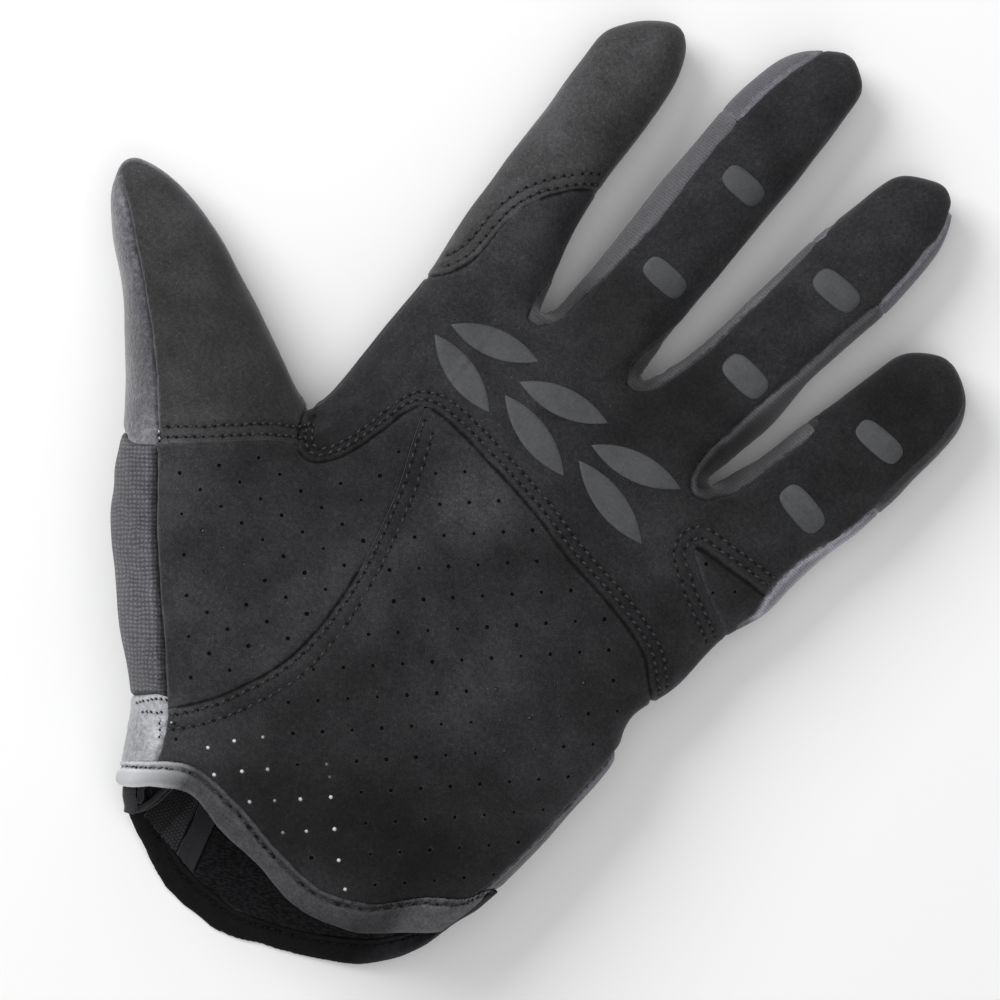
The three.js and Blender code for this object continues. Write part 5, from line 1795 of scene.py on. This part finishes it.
def laid_sheet(corners, steps, lift, wave=0.0, bow=0.0):
    """A sheet on the inside of the back: a grid blended between four corners, laid on the inner face.

    It is raised by lift, with waves across it, and its first side is bowed out by 4 bow s(1 - s)(1 - t).
    """
    s, t = np.meshgrid(np.linspace(0, 1, steps[0]), np.linspace(0, 1, steps[1]), indexing="ij")
    weights = ((1 - s) * (1 - t), s * (1 - t), s * t, (1 - s) * t)
    x, y = (sum(corner[i] * weight for corner, weight in zip(corners, weights)) for i in range(2))
    y = y - 4 * bow * s * (1 - s) * (1 - t)
    z = floor_height(x, y) + lift + wave * noise(np.stack([x, y], -1), 2.2, 5)
    points = np.stack([x, y, z], -1).reshape(-1, 3)
    r, k = np.meshgrid(np.arange(steps[0] - 1), np.arange(steps[1] - 1), indexing="ij")
    p = r * steps[1] + k
    quads = np.stack([p, p + steps[1], p + steps[1] + 1, p + 1], -1).reshape(-1, 4)
    return {"points": points, "faces": quads, "edge": np.full(len(points), NO_SEAM)}


class GLOVE_PG_sizes(bpy.types.PropertyGroup):
    """Sizes and colours that a user may change."""

    cloth: bpy.props.FloatProperty(
        name="Cloth", description="Thickness of a panel with its lining", default=CLOTH / 1000, unit="LENGTH"
    )
    stitch_pitch: bpy.props.FloatProperty(
        name="Stitch pitch",
        description="From one stitch to the next",
        default=STITCH_PITCH / 1000,
        unit="LENGTH",
    )
    floor_colour: bpy.props.FloatVectorProperty(
        name="Floor",
        description="Colour of the floor",
        subtype="COLOR",
        size=3,
        default=linear("#fdfdfd")[:3],
    )
    pierced: bpy.props.BoolProperty(name="Air holes", description="Cut the air holes", default=True)


class GLOVE_OT_palm(bpy.types.Operator):
    """Makes the suede panels of the palm and pierces them."""

    bl_idname = "glove.palm"
    bl_label = "Palm panels"

    def execute(self, context):
        pierced = context.scene.glove_sizes.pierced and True
        holes = air_holes() if pierced else {}
        for node in PALM_NODES:
            piece = make_panel(node, context)
            if node in holes:
                pierce(piece, holes[node])
        if holes:
            make_piece("lining_spots", lining_spots(), materials()["hole_lining"], None)
        return {"FINISHED"}


class GLOVE_OT_thumb(bpy.types.Operator):
    """Makes the thumb's front, its fleece back, the ribbed side and the cuff tab."""

    bl_idname = "glove.thumb"
    bl_label = "Thumb panels"

    def execute(self, context):
        for node in THUMB_NODES:
            make_panel(node, context)
        return {"FINISHED"}


class GLOVE_OT_back(bpy.types.Operator):
    """Makes the back of the hand and the caps of the fingertips."""

    bl_idname = "glove.back"
    bl_label = "Back panels"

    def execute(self, context):
        for node in BACK_NODES:
            make_panel(node, context)
        return {"FINISHED"}


class GLOVE_OT_strips(bpy.types.Operator):
    """Makes the knitted strips between the fingers."""

    bl_idname = "glove.strips"
    bl_label = "Finger strips"

    def execute(self, context):
        for node in STRIP_NODES:
            make_panel(node, context)
        return {"FINISHED"}


class GLOVE_OT_cuff(bpy.types.Operator):
    """Makes the two bindings of the wrist opening."""

    bl_idname = "glove.cuff"
    bl_label = "Cuff bindings"

    def execute(self, context):
        palm, back, _ = rim_bands()
        make_piece("palm_cuff_tape", palm, materials()["binding"], "palm_cuff_binding")
        make_piece("back_cuff_tape", back, materials()["binding_dark"], "back_cuff_binding")
        return {"FINISHED"}


class GLOVE_OT_inside(bpy.types.Operator):
    """Makes the pieces that show inside the wrist opening."""

    bl_idname = "glove.inside"
    bl_label = "Lining"

    def execute(self, context):
        looks = materials()
        mesh = laid_sheet(*NET_SHEET)
        x, y, _ = mesh["points"].T
        # The net is darker to the left of a line that runs up from its lower end at x = -14, a painted shade.
        mesh["wear"] = -0.6 * step_up(-14 + 0.1 * (y + 107) - x, -0.3, 0.3)
        make_piece("lining_net", mesh, looks["net"], "lining_mesh", 0.8)
        make_piece("seam_ribbon", laid_sheet(*RIBBON_SHEET), looks["tape"], "seam_tape", 0.9)
        mesh = laid_sheet(*CREPE_SHEET, wave=0.12, bow=4.6)
        make_piece("back_lining_cloth", mesh, looks["lining"], "back_lining", 0.8)
        strands = []
        for wide, high, lift, line in CORNER_FOLDS:
            x, y = curve(line).T
            strands.append(swept(np.stack([x, y, floor_height(x, y) + lift], 1), wide, high))
        make_piece("cuff_corner_fold", fused(*strands), looks["fold"], "cuff_fold")
        return {"FINISHED"}


class GLOVE_OT_prints(bpy.types.Operator):
    """Makes the grip prints on the palm and on the fingers."""

    bl_idname = "glove.prints"
    bl_label = "Grip prints"

    def execute(self, context):
        for kind, outline, rows in (("leaf", leaf, LEAF_PRINTS), ("finger", bar, FINGER_PRINTS)):
            for i, row in enumerate(rows, 1):
                mesh = print_mesh(outline, *row)
                make_piece(f"{kind}_print_{i}", mesh, materials()["silicone"], f"{kind}_pad_{i}")
        return {"FINISHED"}


class GLOVE_OT_stitches(bpy.types.Operator):
    """Sews the rows of stitches on the palm side and on the bindings."""

    bl_idname = "glove.stitches"
    bl_label = "Stitches"

    def execute(self, context):
        plan = skin()["plan"]
        looks = materials()
        wider = context.scene.glove_sizes.stitch_pitch * 1000 / STITCH_PITCH
        found = []
        for i, (name, distance, window, pitch) in enumerate(STITCH_ROWS):
            for line in contour(plan.maps[name], distance, window):
                found.append(stitches_along(line[::2], pitch * wider, i))
        found = np.hstack(found)
        # Rows end where the palm turns over its sides, in the gaps and at the seam of the thumb.
        x, y, z = found[0].T
        keep = (z > 8) & (plan.read("palm of thumb seam", x, y) > 0.8)
        keep &= (gap_bottoms(x, y) < -0.8) & (found[2, :, 2] > 0.4) & ((x > -43) | (y < -11.8))
        mesh = sewn(found[:, keep], HOLE_PITCH, *PALM_STITCH)
        make_piece("palm_stitches", mesh, looks["thread"], None)
        found = [stitches_along(curve(line, 8), TAB_PITCH, 40) for line in (*TAB_ROWS, BAR_TACK)]
        mesh = sewn(np.hstack(found), TAB_PITCH, *TAB_STITCH)
        make_piece("tab_stitches", mesh, looks["pale_thread"], None)
        for (side_name, away, _), thread in zip(BINDING_ROWS, ("thread", "dark_thread")):
            mesh = sewn(np.stack(binding_row(side_name, away, CUFF_PITCH)), CUFF_PITCH, *CUFF_STITCH)
            make_piece(side_name + "_cuff_stitches", mesh, looks[thread], None)
        # A thin pale cord along the ball's inner seam stands for the light line of its edge, a painted
        # highlight.
        for line in contour(plan.maps["heel"], 0.1, SEAM_HIGHLIGHT_WINDOW):
            mesh = swept(on_palm(evened(line, 4)[::3]) + (0, 0, 0.02), SEAM_HIGHLIGHT_RADIUS, SEAM_HIGHLIGHT_RADIUS, 0.83)
            make_piece("thenar_piping", mesh, looks["pale_thread"], None)
        return {"FINISHED"}


class GLOVE_OT_stage(bpy.types.Operator):
    """Makes the floor, the lights and the camera."""

    bl_idname = "glove.stage"
    bl_label = "Stage"

    def execute(self, context):
        scene = context.scene
        scene.view_settings.view_transform = "Standard"
        data = bpy.data.meshes.new("floor")
        corners = [(x * FLOOR_HALF, y * FLOOR_HALF, 0) for x, y in ((-1, -1), (1, -1), (1, 1), (-1, 1))]
        data.from_pydata(corners, [], [(0, 1, 2, 3)])
        floor = bpy.data.objects.new("floor", data)
        scene.collection.objects.link(floor)
        paper, _ = new_material("Seamless paper, white")
        inputs = {"Base Color": (*scene.glove_sizes.floor_colour, 1), "Roughness": 0.9}
        data.materials.append(shaded(paper, inputs))
        world = scene.world or bpy.data.worlds.new("studio")
        scene.world = world
        world.use_nodes = True
        world.node_tree.nodes.clear()
        sockets = {"Color": linear("#ffffff"), "Strength": WORLD_LIGHT}
        light = add(world.node_tree, "ShaderNodeBackground", sockets)
        add(world.node_tree, "ShaderNodeOutputWorld", {"Surface": light.outputs[0]})
        for name, place, size, power in LAMPS:
            lamp = bpy.data.lights.new(name, "AREA")
            lamp.size = size
            lamp.energy = power
            holder = bpy.data.objects.new(name, lamp)
            scene.collection.objects.link(holder)
            holder.matrix_world = Matrix.Translation(place) @ look_down(place)
        camera = bpy.data.cameras.new("camera")
        camera.sensor_width = CAMERA_SENSOR
        camera.lens = CAMERA_LENS
        camera.clip_end = 20
        holder = bpy.data.objects.new("camera", camera)
        scene.collection.objects.link(holder)
        centre = (np.array([0.0, 0.0, CAMERA_HEIGHT]) - ORIGIN) / 1000
        rows = [(*(axis[i] for axis in CAMERA_AXES), centre[i]) for i in range(3)]
        holder.matrix_world = Matrix([*rows, (0, 0, 0, 1)])
        scene.camera = holder
        return {"FINISHED"}


def look_down(place):
    """Turns a lamp at a place to face the glove."""
    return (-Vector(place)).to_track_quat("-Z", "Y").to_matrix().to_4x4()


class GLOVE_PT_panel(bpy.types.Panel):
    """Lists the steps that build the glove."""

    bl_label = "Fishing glove"
    bl_idname = "GLOVE_PT_panel"
    bl_space_type = "VIEW_3D"
    bl_region_type = "UI"
    bl_category = "Glove"

    def draw(self, context):
        sizes = context.scene.glove_sizes
        for name in ("cloth", "stitch_pitch", "floor_colour", "pierced"):
            self.layout.prop(sizes, name)
        for operator in OPERATORS:
            self.layout.operator(operator.bl_idname)


OPERATORS = (
    GLOVE_OT_stage,
    GLOVE_OT_palm,
    GLOVE_OT_thumb,
    GLOVE_OT_back,
    GLOVE_OT_strips,
    GLOVE_OT_cuff,
    GLOVE_OT_inside,
    GLOVE_OT_prints,
    GLOVE_OT_stitches,
)
CLASSES = (GLOVE_PG_sizes, *OPERATORS, GLOVE_PT_panel)


def register():
    for one in CLASSES:
        bpy.utils.register_class(one)
    bpy.types.Scene.glove_sizes = bpy.props.PointerProperty(type=GLOVE_PG_sizes)


def unregister():
    del bpy.types.Scene.glove_sizes
    for one in reversed(CLASSES):
        bpy.utils.unregister_class(one)


def main():
    """Builds the glove and its stage."""
    register()
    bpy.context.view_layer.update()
    for operator in OPERATORS:
        group, name = operator.bl_idname.split(".")
        getattr(getattr(bpy.ops, group), name)()


if __name__ == "__main__":
    main()
